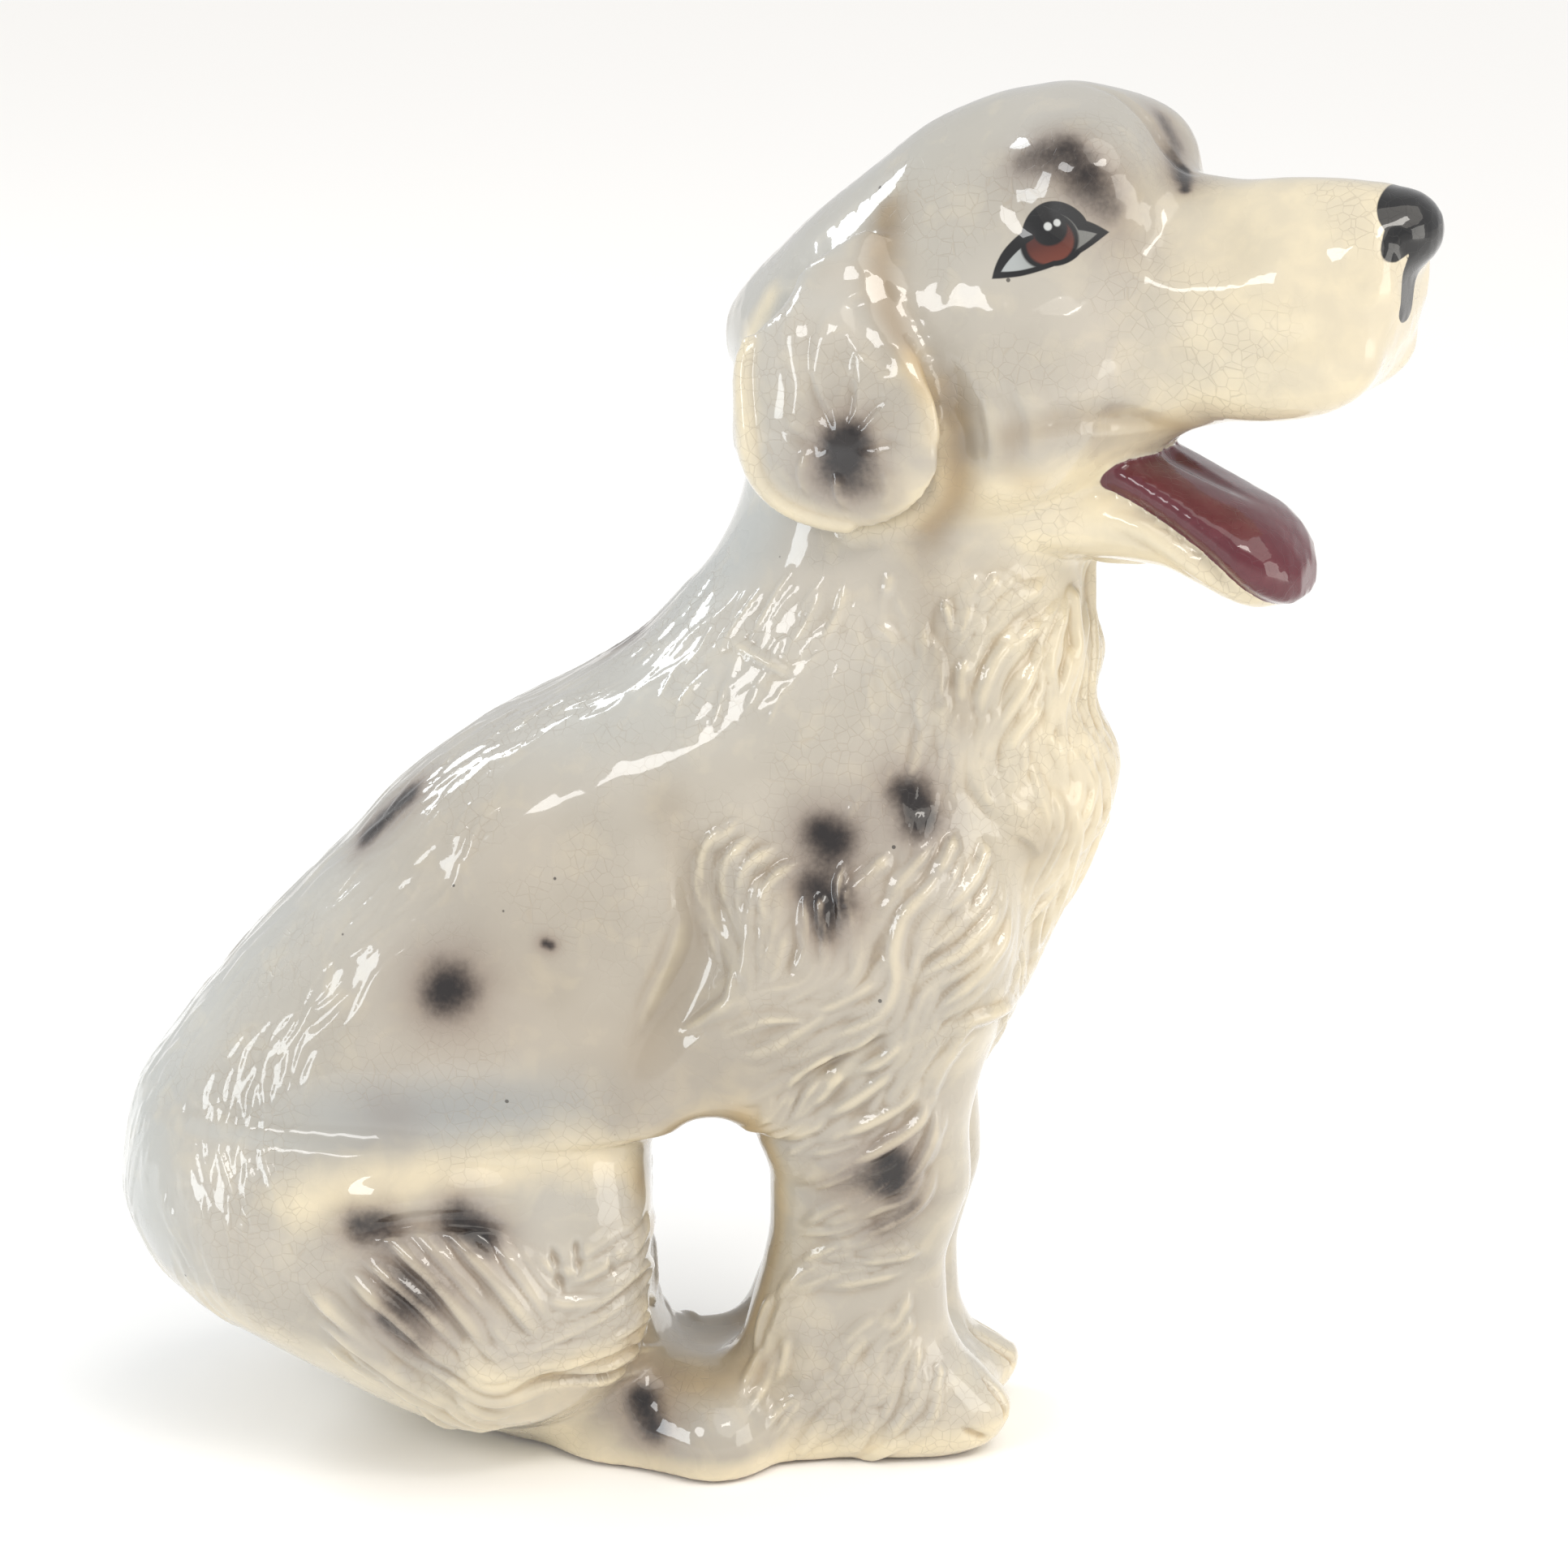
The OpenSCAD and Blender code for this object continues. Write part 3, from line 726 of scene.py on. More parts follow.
def comb_side(side):
    lay_strokes(SIDE_CUTS, on_side, side)
    lay_strokes(SIDE_RIDGES, on_side, side)
    for table, *locks in SIDE_HAIR:
        fur(lay_strokes(table, on_side, side), *locks)
    band = [on_side(rounded(points), side) for points in BACK_BAND]
    fur(band, 230, 24, 2.6, 0.22, 9, 0.3, 24)
    lay_strokes(FACE_CUTS, on_face, side, EAR_PLANE, ends=(0.15, 0.2))
    relief.stroke(on_face(rounded(EAR_RIM), side, EAR_PLANE), 6.5, 1.2, (0.3, 0.2), 0.3)
    lay_strokes(EAR_HAIR, on_face, side, EAR_PLANE)
    lay_strokes(MUZZLE_CUTS, on_face, side)
    lay_strokes(MUZZLE_RIDGES, on_face, side)
    fur(lay_strokes(CHEST_FRONT, on_front, side), 140, 27, 4.0, 0.9, 5, 0.25, 30)
    lay_strokes(PAW_TOES, on_front, side, ends=(0.4, 0.2))


def comb_middle():
    spine = [on_back(rounded([(x, y, z) for x, z in SPINE])) for y in (-16, -8, 0, 8, 16)]
    fur(spine, 300, 24, 2.6, 0.22, 6, 0.3, 24)
    tail = [on_side(rounded([(x, z + above) for x, z in TAIL_LINE]), 1, -52) for above in (0, 5)]
    fur(tail, 90, 14, 2.8, 0.8, 5, 0.4, 18)
    for width, rise, places in BREAST:
        relief.stroke(on_front(rounded(places)), width, rise, (0.4, 0.4))
    tongue = [head_point(x, 0, z) for x, z in TONGUE_GROOVE]
    relief.stroke(lay(head_point(200, 0, 250), tongue), 8.5, -1.2, (0.4, 0.4))
    crown = [head_point(x, 0, 270) for x in range(22, 52, 3)]
    relief.stroke(lay(head_point(0, 0, 600), crown), 5, -0.8, (0.5, 0.3))


clay = build_clay()
points, quads = clay.skin()
rough = smoothed(points, edges_of(quads), 10)
coarse, coarse_quads = len(points), quads
TREE = BVHTree.FromPolygons(rough.tolist(), quads.tolist())
points, quads = subdivided(points, quads)
edges = edges_of(quads)
points = smoothed(points, edges, 12)
base, base_normals = points, normals_of(points, quads)
relief = Relief(points, base_normals)
for side in (-1, 1):
    comb_side(side)
comb_middle()
height = relief.up + relief.down
wobble = RNG.normal(0, 1, clay.count // 10 + 3)


def undulation(places):
    """A slow, hand-made unevenness, in millimetres."""
    spot = (places - clay.low) / (10 * CELL)
    index, part = np.floor(spot).astype(int), smooth_step(spot - np.floor(spot))
    total = 0
    for i, j, k in np.ndindex(2, 2, 2):
        weight = (part[:, 0] if i else 1 - part[:, 0]) * (part[:, 1] if j else 1 - part[:, 1])
        weight = weight * (part[:, 2] if k else 1 - part[:, 2])
        total = total + weight * wobble[index[:, 0] + i, index[:, 1] + j, index[:, 2] + k]
    return 0.2 * total


still = smooth_step((base[:, 2] - 1.0) / 6.0)
points = points + base_normals * (height + relief.form + still * undulation(base))[:, None]
points = smoothed(points, edges, 1, keep_size=False)
calm = np.zeros(len(points))
for side in (-1, 1):
    for line in (EAR_RIM[:7], EAR_GROOVE):
        index, gap, _, _ = relief.measure(on_face(rounded(line), side, EAR_PLANE), 7)
        calm[index] = np.maximum(calm[index], smooth_step(1.4 * (1 - gap / 7)))
points += calm[:, None] * (smoothed(points, edges, 14, keep_size=False) - points)
points[:, 2] = np.maximum(points[:, 2], 0)
cavity = height - smoothed(height[:, None], edges, 25, keep_size=False)[:, 0]
normals = normals_of(points, quads)


# ---------------------------------------------------------------- paint, painted sheen and painted shade laid on the skin

head_x, head_y, head_z = head_coords(*base.T)

EYE_SLANT = math.radians(24.0)
EYE_SIZE = 0.9
EYE_MIDDLE = (29.5, 248.3)
# The eye's outline is where two circles overlap, with a third added; each is u, v and radius
UPPER_LID, LOWER_LID, EYE_ARCH = (0, -7.6, 13.6), (0, 27.9, 30.1), (2.2, 3.4, 6.0)


def lens(x, z):
    """Signed distance to the outline of the painted eye, in the head frame."""
    c, s = math.cos(EYE_SLANT) / EYE_SIZE, math.sin(EYE_SLANT) / EYE_SIZE
    x, z = x - EYE_MIDDLE[0], z - EYE_MIDDLE[1]
    u, v = x * c + z * s, z * c - x * s
    upper, lower, arch = (np.hypot(u - a, v - b) - r for a, b, r in (UPPER_LID, LOWER_LID, EYE_ARCH))
    return np.minimum(np.maximum(upper, lower), arch)


tongue_gap = station_form(TONGUE, 2.6)(head_x, head_y, head_z)
jaw_gap = station_form(JAW)(head_x, head_y, head_z)
tongue_paint = np.maximum(tongue_gap - 0.8, tongue_gap - jaw_gap + 0.2)
nose_cap = ball((90, 0, 255.5), (7.8, 10.5, 6.5))
nose_wings = [limb([(91, side * 6.5, 254), (88, side * 10.5, 249)], (4.2, 2.5)) for side in (-1, 1)]
nose_drip = limb([(95, -2.5, 251), (92, -4.5, 240)], (5.2, 3.4))
nose_forms = [nose_cap, *nose_wings, nose_drip]
nose_paint = np.min([form(head_x, head_y, head_z) for form in nose_forms], axis=0)

# Sprayed spots: the radius, the strength and the two ends of each.
SPOTS_RIGHT = [
    (5.5, 1.0, [(8, 137), (9, 136)]), (5.5, 1.0, [(24, 145), (26, 140)]), (4, 0.85, [(6, 126), (10, 123)]),
    (3, 0.6, [(8, 122), (8, 117)]), (5, 1.0, [(-65, 106), (-64.5, 106)]), (9, 0.5, [(-65, 105),
    (-64, 105)]), (4.6, 1.0, [(-79.5, 137.5), (-72, 144.5)]), (4.5, 0.95, [(-83, 57), (-79, 57)]),
    (4.8, 1.0, [(-64, 58), (-59, 55)]), (5, 0.8, [(-74, 45), (-72, 42)]), (3.2, 0.75, [(-78, 38),
    (-73, 33)]), (5, 0.3, [(-78, 80), (-76, 79)]), (5, 0.95, [(-28, 20), (-26, 15)]), (5.5, 1.0, [(21, 70),
    (20.5, 67)]), (3.5, 0.6, [(25, 61), (19, 57)]), (4.5, 0.5, [(14, 67), (11, 65)]),
    (1.4, 0.9, [(-46, 115), (-45, 114.5)]), (5, 0.3, [(48, 136), (50, 134)]), (9, 0.35, [(-72, 42),
    (-64, 44)]), (7, 0.35, [(8, 128), (10, 122)])]
SPOTS_LEFT = [
    (5.5, 1.0, [(4, 132), (6, 130)]), (5.5, 0.95, [(26, 122), (27, 119)]), (4, 0.75, [(-8, 112),
    (-5, 109)]), (5, 1.0, [(-52, 118), (-51, 117.5)]), (9, 0.45, [(-52, 117), (-50, 116)]),
    (5, 0.9, [(-94, 93), (-91, 95)]), (5, 0.9, [(-70, 53), (-66, 52)]), (4.5, 0.8, [(-86, 70), (-83, 67)]),
    (5.5, 0.95, [(22, 66), (21, 63)]), (5, 0.8, [(-100, 37), (-96, 34)]), (5, 0.8, [(-60, 17), (-56, 16)]),
    (4, 0.7, [(14, 160), (16, 157)])]
SPOTS_FACE = [
    (4, 0.7, [(30, 267), (34, 263)]), (3.5, 0.6, [(22, 265), (29, 267)]), (3.5, 0.55, [(35, 262),
    (39, 257)]), (7, 0.4, [(26, 265), (36, 261)]), (5, 0.25, [(40, 256), (44, 250)])]
SPOTS_EAR = [
    (5, 1.2, [(-7, 211), (-7, 208)]), (7, 0.35, [(-8, 210), (-6, 206)]), (4, 0.25, [(-14, 204), (0, 203)])]
spots = np.zeros(len(base))


def daub(path, radius, strength):
    """Sprays one spot."""
    radius *= 1.75
    if len(path) < 1:
        return
    path = path if len(path) > 1 else np.vstack([path, path + 0.01])
    index, gap, _, _ = relief.measure(path, 2.2 * radius)
    spots[index] += (1 - spots[index]) * strength * np.exp(-1.8 * (gap / radius) ** 1.7)


for radius, strength, line in SPOTS_RIGHT:
    daub(on_side(line, -1), radius, strength)
for radius, strength, line in SPOTS_LEFT:
    daub(on_side(line, 1), radius, strength)
for side in (-1, 1):
    for radius, strength, line in SPOTS_FACE:
        daub(on_face(line, side), radius, strength)
    for radius, strength, line in SPOTS_EAR:
        daub(on_face(line, side, EAR_PLANE), radius, strength)
VIEWER = (0, VIEWER_Y, VIEWER_Z)
daub(lay(VIEWER, [(73, 1, 268), (75, 1, 264), (76, 0, 257)]), 4.5, 0.75)
daub(lay(VIEWER, [(77, 0, 259), (77, -1, 255)]), 1.0, 1.0)
daub(on_back([(-30, 4, 166), (-34, 6, 163)]), 5, 0.8)
daub(on_back([(-108, 8, 98), (-112, 10, 93)]), 5, 0.8)

on_head_part = smooth_step((base[:, 2] - 196) / 12)
# Creamier towards the chest, muzzle and jaw, on the lower sides and on surfaces that face down: partly the
# cream glaze, partly painted warm light from the front and from below.
chest_cream = 0.85 * smooth_step((base[:, 0] - 22) / 42) * (1 - on_head_part)
muzzle_cream = 0.75 * smooth_step((head_x - 34) / 30)
jaw_cream = 0.8 * smooth_step((214 - head_z) / 14) * smooth_step((head_x + 12) / 24)
hem_cream = 0.9 * smooth_step((14 - base[:, 2]) / 12) * smooth_step((0.15 - base_normals[:, 2]) / 0.4)
under_cream = 0.6 * smooth_step((-0.2 - base_normals[:, 2]) / 0.5)
warm = np.clip(chest_cream + on_head_part * (muzzle_cream + jaw_cream) + hem_cream + under_cream, 0, 1)


def brush(layer, path, radius, amount):
    """Draws a soft line of a layer of paint along a path."""
    index, gap, _, _ = relief.measure(path, 1.6 * radius)
    layer[index] += (1 - layer[index]) * amount * np.exp(-2.2 * (gap / radius) ** 2)


# Soft painted lines on the side: the radius, the strength and the path.
LEG_RIM = [(-8, 80), (-3, 73), (-1, 63), (-2, 52), (-5, 40), (-9, 33)]
CREAM_LINES = [
    # partly cream glaze and partly a painted highlight, along the haunch's top
    (9, 0.85, [(-94, 61), (-80, 65), (-64, 69), (-48, 72), (-34, 73)]),
    (8, 0.6, [(-30, 72), (-26, 60), (-25, 48), (-28, 36)]),
    (6, 0.8, [(-60, 25), (-52, 24), (-44, 27), (-34, 30)]),
    # turns the painted shade round the leg gap's rim ochre
    (5, 0.8, LEG_RIM)]
for side in (-1, 1):
    brush(warm, on_face(rounded(EAR_RIM[2:]), side, EAR_PLANE), 5, 0.75)
    for radius, amount, line in CREAM_LINES:
        brush(warm, on_side(rounded(line), side), radius, amount)


def shade_patch(x, z, reach_x, reach_z, amount, lean=0.0):
    """A soft patch of painted shade seen from the side, leaning up towards the chest."""
    along, above = base[:, 0] - x, base[:, 2] - z - lean * (base[:, 0] - x)
    return amount * np.exp(-((along / reach_x) ** 2) - (above / reach_z) ** 2)


# Painted brown shade in the hollows and over the flank, belly, chest, legs and back: x, z, the reach along
# each, and the strength.
DUSK_POOLS = [
    (-45, 100, 45, 26, 0.3), (-18, 86, 24, 12, 0.3), (-24, 20, 26, 14, 0.45),
    (12, 42, 18, 30, 0.08), (12, 120, 25, 20, 0.15), (-60, 138, 28, 25, 0.28)]
# Painted shade along the elbow fold and the neck, and round the leg gap: the radius, the strength and the
# path.
DUSK_ON_SIDE = [
    (8, 0.35, ELBOW_FOLD), (6, 0.35, [(26, 192), (28, 182), (30, 172), (34, 160)]),
    (6, 0.7, [(-28, 66), (-24, 75), (-15, 79), (-6, 77), (-3, 68)]),
    (7, 0.5, [(-30, 33), (-24, 26), (-14, 24), (-6, 28)]),
    (5, 0.55, LEG_RIM)]
dusk = sum(shade_patch(*row) for row in DUSK_POOLS) * (1 - on_head_part)
# Painted shade in the groove before the ear, under the upper lip and at the back of the mouth, then the lines
# above, on both sides.
for side in (-1, 1):
    brush(dusk, on_face(rounded(EAR_GROOVE), side, EAR_PLANE), 6.5, 0.95)
    brush(dusk, on_face(rounded(MOUTH_LINE), side), 4.5, 0.5)
    brush(dusk, on_face(rounded([(24, 203), (20, 207), (20, 212)]), side), 5, 0.3)
    for radius, amount, line in DUSK_ON_SIDE:
        brush(dusk, on_side(rounded(line), side), radius, amount)
# Painted sky sheen: surfaces that face up, and those that face backward, get a lighter, cooler grey.
upward = smooth_step((base_normals[:, 2] - 0.05) / 0.8)
backward = smooth_step((-0.35 - base_normals[:, 0]) / 0.5)
sky_lit = np.maximum(0.7 * upward, backward)
# Painted shade in the crease between the flank and the haunch: a band made less cream, cooler and darker
# grey.
band = shade_patch(-68, 81, 32, 7, 1.0, 0.08)
warm *= 1 - 0.8 * band
sky_lit = np.maximum(sky_lit * (1 - 0.6 * warm) * (1 - 0.45 * on_head_part), 0.9 * band)
# Painted shade inside the leg gap: ochre, with no sky sheen.
hollow = shade_patch(-14, 46, 15, 32, 1.0) * smooth_step((34 - np.abs(base[:, 1])) / 10)
warm, sky_lit, dusk = np.maximum(warm, 0.9 * hollow), sky_lit * (1 - hollow), np.maximum(dusk, 0.7 * hollow)
bare = smooth_step((1.0 - base[:, 2]) / 0.6) * smooth_step((-0.5 - base_normals[:, 2]) / 0.3)


# ---------------------------------------------------------------- glaze

class Graph:
    """Short names for the shader nodes used here."""

    def __init__(self, material):
        self.tree = material.node_tree
        self.nodes, self.links = self.tree.nodes, self.tree.links
        self.shader = self.nodes["Principled BSDF"]

    def put(self, socket, value):
        if isinstance(value, bpy.types.NodeSocket):
            self.links.new(value, socket)
        else:
            socket.default_value = value

    def math(self, operation, *values, clamp=False):
        node = self.nodes.new("ShaderNodeMath")
        node.operation, node.use_clamp = operation, clamp
        for socket, value in zip(node.inputs, values):
            self.put(socket, value)
        return node.outputs[0]

    def times(self, *values, clamp=False):
        return self.math("MULTIPLY", *values, clamp=clamp)

    def plus(self, *values, clamp=False):
        return self.math("ADD", *values, clamp=clamp)

    def minus(self, *values):
        return self.math("SUBTRACT", *values)

    def ramp(self, value, start, end, low=0.0, high=1.0):
        node = self.nodes.new("ShaderNodeMapRange")
        node.interpolation_type = "SMOOTHSTEP"
        for socket, number in zip(node.inputs, (value, start, end, low, high)):
            self.put(socket, number)
        return node.outputs[0]

    def mix(self, factor, first, second):
        node = self.nodes.new("ShaderNodeMix")
        node.data_type = "RGBA"
        self.put(node.inputs[0], factor)
        self.put(node.inputs[6], first)
        self.put(node.inputs[7], second)
        return node.outputs[2]

    def layer(self, name):
        node = self.nodes.new("ShaderNodeAttribute")
        node.attribute_name = name
        return node.outputs["Vector"]

    def split(self, vector):
        node = self.nodes.new("ShaderNodeSeparateXYZ")
        self.links.new(vector, node.inputs[0])
        return node.outputs

    def noise(self, place, scale, detail=3.0, distortion=0.0):
        node = self.nodes.new("ShaderNodeTexNoise")
        self.links.new(place, node.inputs["Vector"])
        for name, value in (("Scale", scale), ("Detail", detail), ("Distortion", distortion)):
            node.inputs[name].default_value = value
        return node.outputs["Fac"]

    def cells(self, place, scale, feature="F1"):
        node = self.nodes.new("ShaderNodeTexVoronoi")
        node.feature = feature
        self.links.new(place, node.inputs["Vector"])
        node.inputs["Scale"].default_value = scale
        return node.outputs

    def bump(self, height, strength, distance, normal=None):
        node = self.nodes.new("ShaderNodeBump")
        node.inputs["Strength"].default_value = strength
        node.inputs["Distance"].default_value = distance
        self.links.new(height, node.inputs["Height"])
        if normal is not None:
            self.links.new(normal, node.inputs["Normal"])
        return node.outputs[0]


CREAM = (0.69, 0.605, 0.435, 1)
BODY_GREY = (0.375, 0.345, 0.295, 1)
SKY_LIT_GREY = (0.43, 0.445, 0.435, 1)
SHADE_BAND_GREY = (0.26, 0.265, 0.26, 1)
PALE_GREY = (0.46, 0.42, 0.36, 1)
CRACK = (0.36, 0.30, 0.22, 1)
SPECK = (0.05, 0.045, 0.04, 1)
VALLEY = (0.27, 0.215, 0.15, 1)
OCHRE = (0.43, 0.31, 0.16, 1)
SPOT_BROWN = (0.175, 0.125, 0.10, 1)
SPOT_BLACK = (0.013, 0.010, 0.010, 1)
MAROON = (0.09, 0.012, 0.02, 1)
MAROON_LIGHT = (0.14, 0.03, 0.04, 1)
BLACK = (0.006, 0.006, 0.007, 1)
CLAY_BUFF = (0.62, 0.50, 0.36, 1)
EYE_WHITE_BACK, EYE_WHITE_FRONT = (0.34, 0.36, 0.36, 1), (0.16, 0.16, 0.15, 1)
IRIS_LOW, IRIS_HIGH = (0.125, 0.031, 0.019, 1), (0.055, 0.013, 0.01, 1)
GLINT = (0.5, 0.51, 0.5, 1)


def glaze(name):
    """Clear glaze over airbrushed cream slip, with the spots, nose, tongue and eyes painted under it, and
    with painted sheen, shade and highlights in its colour.
    """
    material = bpy.data.materials.new(name)
    material.use_nodes = True
    g = Graph(material)
    place = g.nodes.new("ShaderNodeTexCoord").outputs["Object"]
    spot, warmth, sky_lit_amount = g.split(g.layer("tones"))
    tongue, nose, foot = g.split(g.layer("painted"))
    rise, shadow, dusky = g.split(g.layer("rise"))
    ahead, aside, level = g.split(g.layer("head"))

    cloud = g.noise(place, 28, 3)
    fine_cloud = g.noise(place, 140, 4, 0.4)
    colour = g.mix(g.ramp(cloud, 0.3, 0.75), BODY_GREY, PALE_GREY)
    # painted sky sheen, also the cool grey under the painted shade band
    colour = g.mix(g.times(sky_lit_amount, 0.8), colour, SKY_LIT_GREY)
    warmth = g.plus(warmth, g.ramp(fine_cloud, 0.35, 0.75, -0.12, 0.14), clamp=True)
    colour = g.mix(warmth, colour, CREAM)
    # painted shade: brown, and ochre where the glaze is cream
    deep = g.mix(warmth, VALLEY, OCHRE)
    colour = g.mix(dusky, colour, deep)
    # painted shade band above the haunch
    colour = g.mix(g.times(shadow, 0.75), colour, SHADE_BAND_GREY)
    # the tops of the locks lighter, the grooves between them darker
    colour = g.mix(g.times(g.ramp(rise, 0.0, 0.8), 0.55), colour, CREAM)
    colour = g.mix(g.times(g.ramp(rise, 0.0, -0.7), 0.7), colour, deep)

    web = g.cells(place, 420, "DISTANCE_TO_EDGE")["Distance"]
    crack = g.times(g.ramp(web, 0.045, 0.0), g.ramp(g.noise(place, 45, 2), 0.45, 0.62))
    colour = g.mix(g.times(crack, 0.3), colour, CRACK)

    grain = g.plus(g.ramp(g.noise(place, 150, 3), 0.2, 0.8, 0.9, 1.1),
                   g.times(g.minus(g.noise(place, 1000, 2), 0.5), 0.2))
    spatter = g.times(spot, g.times(grain, g.ramp(rise, 0.1, 0.8, 1.0, 0.6)), clamp=True)
    colour = g.mix(g.times(spatter, 0.96), colour, SPOT_BROWN)
    colour = g.mix(g.ramp(spatter, 0.42, 1.02), colour, SPOT_BLACK)

    cell = g.cells(place, 95)
    speck = g.times(g.ramp(cell["Distance"], 0.045, 0.03), g.ramp(g.split(cell["Color"])[0], 0.7, 0.72))
    colour = g.mix(g.times(speck, 0.85), colour, SPECK)

    # The eye: its white, iris, pupil, glints and a drawn outline. u runs from corner to corner, and v up.
    c, s = math.cos(EYE_SLANT) / EYE_SIZE, math.sin(EYE_SLANT) / EYE_SIZE
    x = g.minus(ahead, EYE_MIDDLE[0])
    z = g.minus(level, EYE_MIDDLE[1])
    u = g.plus(g.times(x, c), g.times(z, s))
    v = g.minus(g.times(z, c), g.times(x, s))

    def circle(middle_u, middle_v, radius):
        du, dv = g.minus(u, middle_u), g.minus(v, middle_v)
        reach = g.math("SQRT", g.plus(g.times(du, du), g.times(dv, dv)))
        return g.minus(reach, radius)

    def paint(under, gap, edge, tone):
        return g.mix(g.times(g.ramp(gap, edge, -edge), beside), under, tone)

    beside = g.ramp(aside, 9.0, 10.0)
    almond = g.math("MAXIMUM", circle(*UPPER_LID), circle(*LOWER_LID))
    outline = g.math("MINIMUM", almond, circle(*EYE_ARCH))
    white = g.mix(g.ramp(u, -8.0, 2.0), EYE_WHITE_BACK, EYE_WHITE_FRONT)
    colour = paint(colour, outline, 0.1, white)
    within = g.plus(outline, 0.1)
    colour = paint(colour, g.math("MAXIMUM", circle(0.7, 3.0, 5.9), within), 0.3, BLACK)
    iris = g.mix(g.ramp(v, -2.0, 5.0), IRIS_LOW, IRIS_HIGH)
    colour = paint(colour, g.math("MAXIMUM", circle(0.8, 2.8, 4.8), within), 0.35, iris)
    colour = paint(colour, circle(1.6, 5.2, 3.7), 0.35, BLACK)
    colour = paint(colour, circle(1.4, 5.6, 0.85), 0.2, GLINT)
    colour = paint(colour, circle(3.5, 5.6, 0.75), 0.2, GLINT)
    thick = g.ramp(v, -1.5, 5.0, 0.55, 1.3)
    colour = paint(colour, g.minus(g.math("ABSOLUTE", g.plus(outline, 0.25)), thick), 0.15, BLACK)

    tongue_tone = g.mix(g.ramp(g.noise(place, 190, 4, 0.6), 0.35, 0.8), MAROON, MAROON_LIGHT)
    tongue_tone = g.mix(0.55, tongue_tone, MAROON)
    colour = g.mix(g.ramp(tongue, 0.12, -0.12), colour, tongue_tone)
    colour = g.mix(g.ramp(nose, 0.12, -0.12), colour, BLACK)
    colour = g.mix(foot, colour, CLAY_BUFF)
    g.put(g.shader.inputs["Base Color"], colour)

    rough = g.ramp(g.noise(place, 60, 3), 0.3, 0.8, 0.24, 0.38)
    g.put(g.shader.inputs["Roughness"], g.plus(rough, g.times(foot, 0.4)))
    ripple = g.bump(g.noise(place, 220, 2), 0.18, 0.0004)
    dents = g.bump(g.times(g.plus(speck, crack), -1.0), 0.35, 0.0003, ripple)
    g.put(g.shader.inputs["Normal"], dents)
    coat = g.bump(g.noise(place, 90, 2), 0.22, 0.0006)
    g.put(g.shader.inputs["Coat Normal"], coat)
    g.shader.inputs["Specular IOR Level"].default_value = 0.15
    g.shader.inputs["Coat Weight"].default_value = 1.0
    g.shader.inputs["Coat Roughness"].default_value = 0.03
    g.shader.inputs["Coat IOR"].default_value = 1.5
    return material


# ---------------------------------------------------------------- pieces

SHELL = 1.2


def shell_of(chosen):
    """One closed shell: the fine skin over the chosen coarse faces, a plain lining and a rim between.

    Gives its places, its faces in three groups, a normal for each of their corners, and which point of the
    whole skin each place comes from.
    """
    outer = np.vstack([quads[chosen + k * len(coarse_quads)] for k in range(4)])
    inner = coarse_quads[chosen]
    sides = np.stack([inner, np.roll(inner, -1, axis=1)], axis=2).reshape(-1, 2)
    halves = np.stack([quads[chosen + k * len(coarse_quads)][:, 1] for k in range(4)], axis=1).reshape(-1)
    keys = np.sort(sides, axis=1)
    keys = keys[:, 0] * coarse + keys[:, 1]
    _, first, number = np.unique(keys, return_index=True, return_counts=True)
    rim = first[number == 1]
    used, deep = np.unique(outer), np.unique(inner)
    used_of, deep_of = np.full(len(points), -1), np.full(coarse, -1)
    used_of[used] = np.arange(len(used))
    deep_of[deep] = len(used) + np.arange(len(deep))
    places = np.vstack([points[used], points[deep] - SHELL * normals[deep]])
    skin = used_of[outer]
    lining = deep_of[inner[:, ::-1]]
    a, b, m = sides[rim, 0], sides[rim, 1], halves[rim]
    wall = np.stack([used_of[b], used_of[m], used_of[a], deep_of[a], deep_of[b]], axis=1)
    whole = np.vstack([normals[used], -normals[deep]])
    edge = places[wall]
    flat = np.cross(edge[:, 2] - edge[:, 0], edge[:, 4] - edge[:, 0])
    flat /= np.maximum(np.linalg.norm(flat, axis=1), 1e-9)[:, None]
    corner_normals = np.vstack([whole[skin.ravel()], whole[lining.ravel()], np.repeat(flat, 5, axis=0)])
    return places, (skin, lining, wall), corner_normals, np.concatenate([used, deep])


def mesh_of(name, places, faces, corner_normals):
    """A smooth mesh from groups of faces."""
    corners = np.concatenate([group.ravel() for group in faces]).astype(np.int32)
    totals = np.concatenate([np.full(len(group), group.shape[1]) for group in faces]).astype(np.int32)
    mesh = bpy.data.meshes.new(name)
    mesh.vertices.add(len(places))
    mesh.vertices.foreach_set("co", (places * MM).astype(np.float32).ravel())
    mesh.loops.add(len(corners))
    mesh.loops.foreach_set("vertex_index", corners)
    mesh.polygons.add(len(totals))
    mesh.polygons.foreach_set("loop_start", (np.cumsum(totals) - totals).astype(np.int32))
    mesh.polygons.foreach_set("loop_total", totals)
    mesh.update(calc_edges=True)
    mesh.polygons.foreach_set("use_smooth", np.ones(len(totals), bool))
    mesh.normals_split_custom_set(corner_normals.tolist())
    return mesh


LAYERS = {
    "tones": (spots, warm, sky_lit), "painted": (tongue_paint, nose_paint, bare),
    "rise": (cavity, band, dusk), "head": (head_x, np.abs(head_y), head_z)}


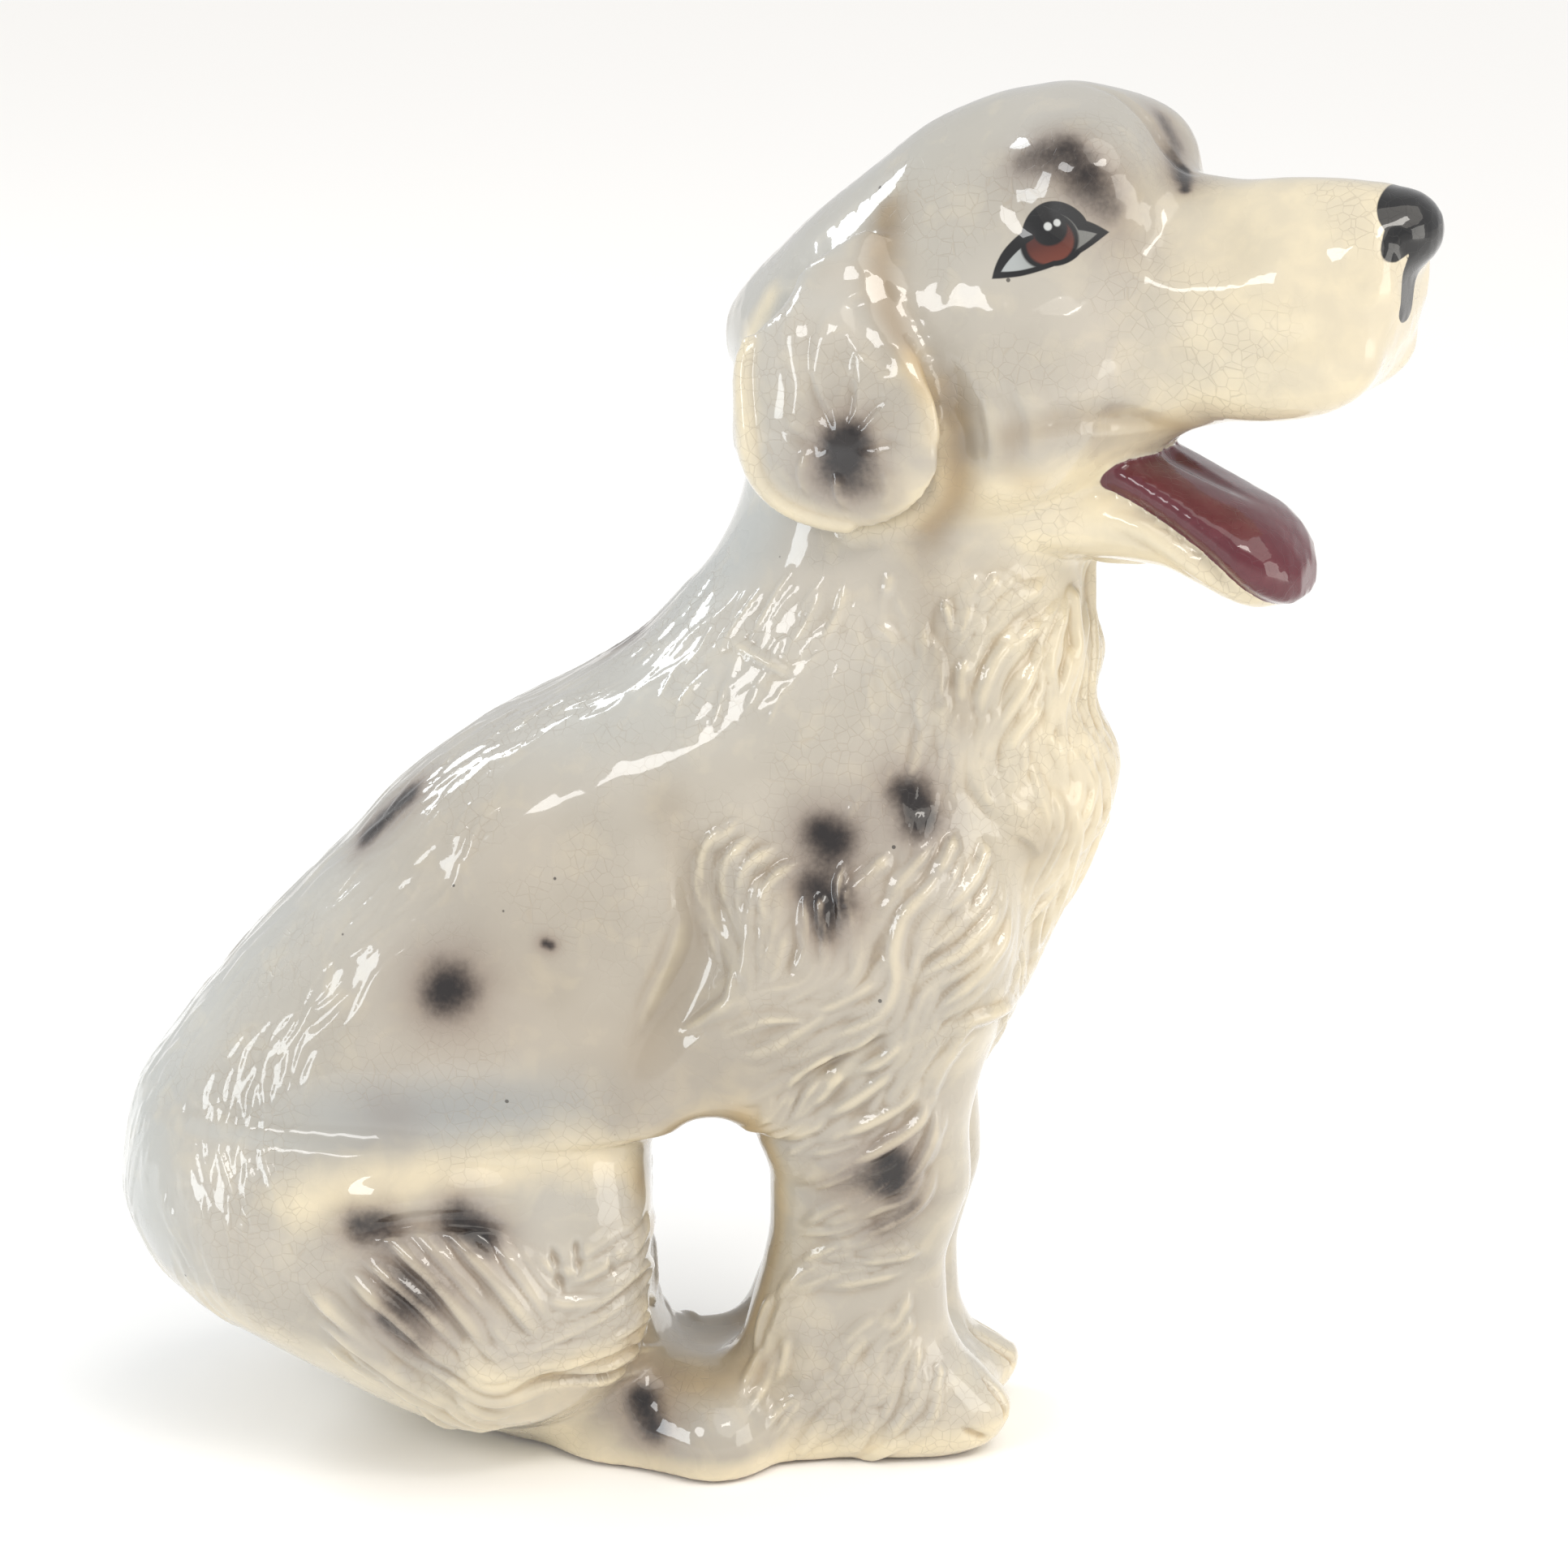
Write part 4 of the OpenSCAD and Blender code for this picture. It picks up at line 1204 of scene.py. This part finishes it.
def cut_piece(name, chosen):
    """A piece of the figure: the chosen coarse faces as a shell, with its paint."""
    places, faces, corner_normals, source = shell_of(chosen)
    mesh = mesh_of(name, places, faces, corner_normals)
    for layer, parts in LAYERS.items():
        data = np.stack(parts, axis=1)[source].astype(np.float32)
        mesh.attributes.new(layer, "FLOAT_VECTOR", "POINT").data.foreach_set("vector", data.ravel())
    piece = bpy.data.objects.new(name, mesh)
    bpy.context.scene.collection.objects.link(piece)
    return piece


names = list(clay.names)
centre = rough[coarse_quads].mean(axis=1)
label = clay.labels_at(centre).astype(int)


def part_off(name, wholes, where):
    """Gives those faces of some pieces that lie where told to a new piece."""
    names.append(name)
    label[where & np.isin(label, [names.index(whole) for whole in wholes])] = len(names) - 1


centre_x, centre_y, centre_z = head_coords(*centre.T)
eye_gap = lens(centre_x, centre_z)
part_off("eye_right", ("head",), (eye_gap < 0.9) & (-centre_y > 9))
part_off("eye_left", ("head",), (eye_gap < 0.9) & (centre_y > 9))
part_off("muzzle", ("head",), centre_x > 45)
part_off("flank", ("body",), (centre[:, 2] > 82) & (centre[:, 0] < -20))
part_off("chest", ("body",), centre[:, 0] >= -20)
part_off("neck", ("body", "chest"), centre[:, 2] > SEAM)
names[names.index("body")] = "rump"
materials = {slot: glaze(slot) for slot in ("cream_glaze", "tongue_glaze", "black_glaze", "eye_enamel")}
SLOT_OF = {
    "tongue": "tongue_glaze", "nose": "black_glaze", "eye_right": "eye_enamel", "eye_left": "eye_enamel"}
# The torso shows as rump, flank and chest, and the head as head and muzzle, so that no mesh is too big.
NODES_OF = {"rump": ("torso",), "flank": (), "chest": (), "muzzle": ()}
for index, name in enumerate(names):
    piece = cut_piece("skin_" + name, np.flatnonzero(label == index))
    slot = SLOT_OF.get(name, "cream_glaze")
    piece.data.materials.append(materials[slot])
    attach(piece, "root")
    if NODES_OF.get(name, (name,)):
        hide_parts(*NODES_OF.get(name, (name,)))


# ---------------------------------------------------------------- studio

CAMERA_TILT = math.radians(16.0)
CAMERA_DISTANCE = 1.0
TARGET = Vector((0, 0, 0.136))
VIEW_WIDTH = 1.932 / 6.2  # what the camera sees across at the target, in metres


def make_camera():
    data = bpy.data.cameras.new("camera")
    data.sensor_width = 36
    data.lens = 36 * CAMERA_DISTANCE / VIEW_WIDTH
    data.clip_end = 20
    camera = bpy.data.objects.new("camera", data)
    back = Vector((0, -math.cos(CAMERA_TILT), math.sin(CAMERA_TILT)))
    camera.location = TARGET + back * CAMERA_DISTANCE
    camera.rotation_euler = back.to_track_quat("Z", "Y").to_euler()
    bpy.context.scene.collection.objects.link(camera)
    bpy.context.scene.camera = camera


def window(name, location, size, power, colour):
    """A rectangular light that faces the figure."""
    data = bpy.data.lights.new(name, "AREA")
    data.shape = "RECTANGLE"
    data.size, data.size_y = size
    data.energy = power
    data.color = colour
    light = bpy.data.objects.new(name, data)
    light.location = location
    light.rotation_euler = (Vector(location) - TARGET).to_track_quat("Z", "Y").to_euler()
    bpy.context.scene.collection.objects.link(light)


def make_sun():
    """Soft warm light from the front right and above."""
    data = bpy.data.lights.new("sun", "SUN")
    data.energy, data.angle, data.color = 1.2, math.radians(60), (1, 0.94, 0.85)
    sun = bpy.data.objects.new("sun", data)
    sun.rotation_euler = Vector((0.6, -0.45, 1.0)).to_track_quat("Z", "Y").to_euler()
    bpy.context.scene.collection.objects.link(sun)


def make_surroundings():
    """Plain white light from all around."""
    world = bpy.data.worlds.new("studio")
    world.use_nodes = True
    world.node_tree.nodes["Background"].inputs["Color"].default_value = (1, 1, 1, 1)
    world.node_tree.nodes["Background"].inputs["Strength"].default_value = 0.68
    bpy.context.scene.world = world


def make_floor():
    """A wide pale floor, just below the figure."""
    mesh = bpy.data.meshes.new("floor")
    mesh.from_pydata([(-60, -60, 0), (60, -60, 0), (60, 60, 0), (-60, 60, 0)], [], [(0, 1, 2, 3)])
    material = bpy.data.materials.new("floor")
    material.use_nodes = True
    shader = material.node_tree.nodes["Principled BSDF"]
    shader.inputs["Base Color"].default_value = (0.95, 0.95, 0.95, 1)
    shader.inputs["Roughness"].default_value = 0.9
    mesh.materials.append(material)
    floor_object = bpy.data.objects.new("floor", mesh)
    floor_object.location.z = -0.0005
    bpy.context.scene.collection.objects.link(floor_object)


make_camera()
window("window_back", (-0.95, 0.55, 0.95), (0.45, 0.35), 4.5, (0.88, 0.95, 1))
window("window_left", (-1.1, -0.65, 0.35), (0.25, 0.5), 3, (0.9, 0.96, 1))
window("window_near", (-0.66, -0.93, 0.8), (0.4, 0.26), 2.6, (1, 1, 1))
window("window_front", (1.1, -0.55, 0.3), (0.6, 0.6), 3.4, (1, 0.97, 0.9))
window("window_right", (0.55, -0.8, 1.05), (0.5, 0.2), 3, (1, 0.96, 0.9))
make_sun()
make_surroundings()
make_floor()
bpy.context.scene.view_settings.view_transform = "Standard"
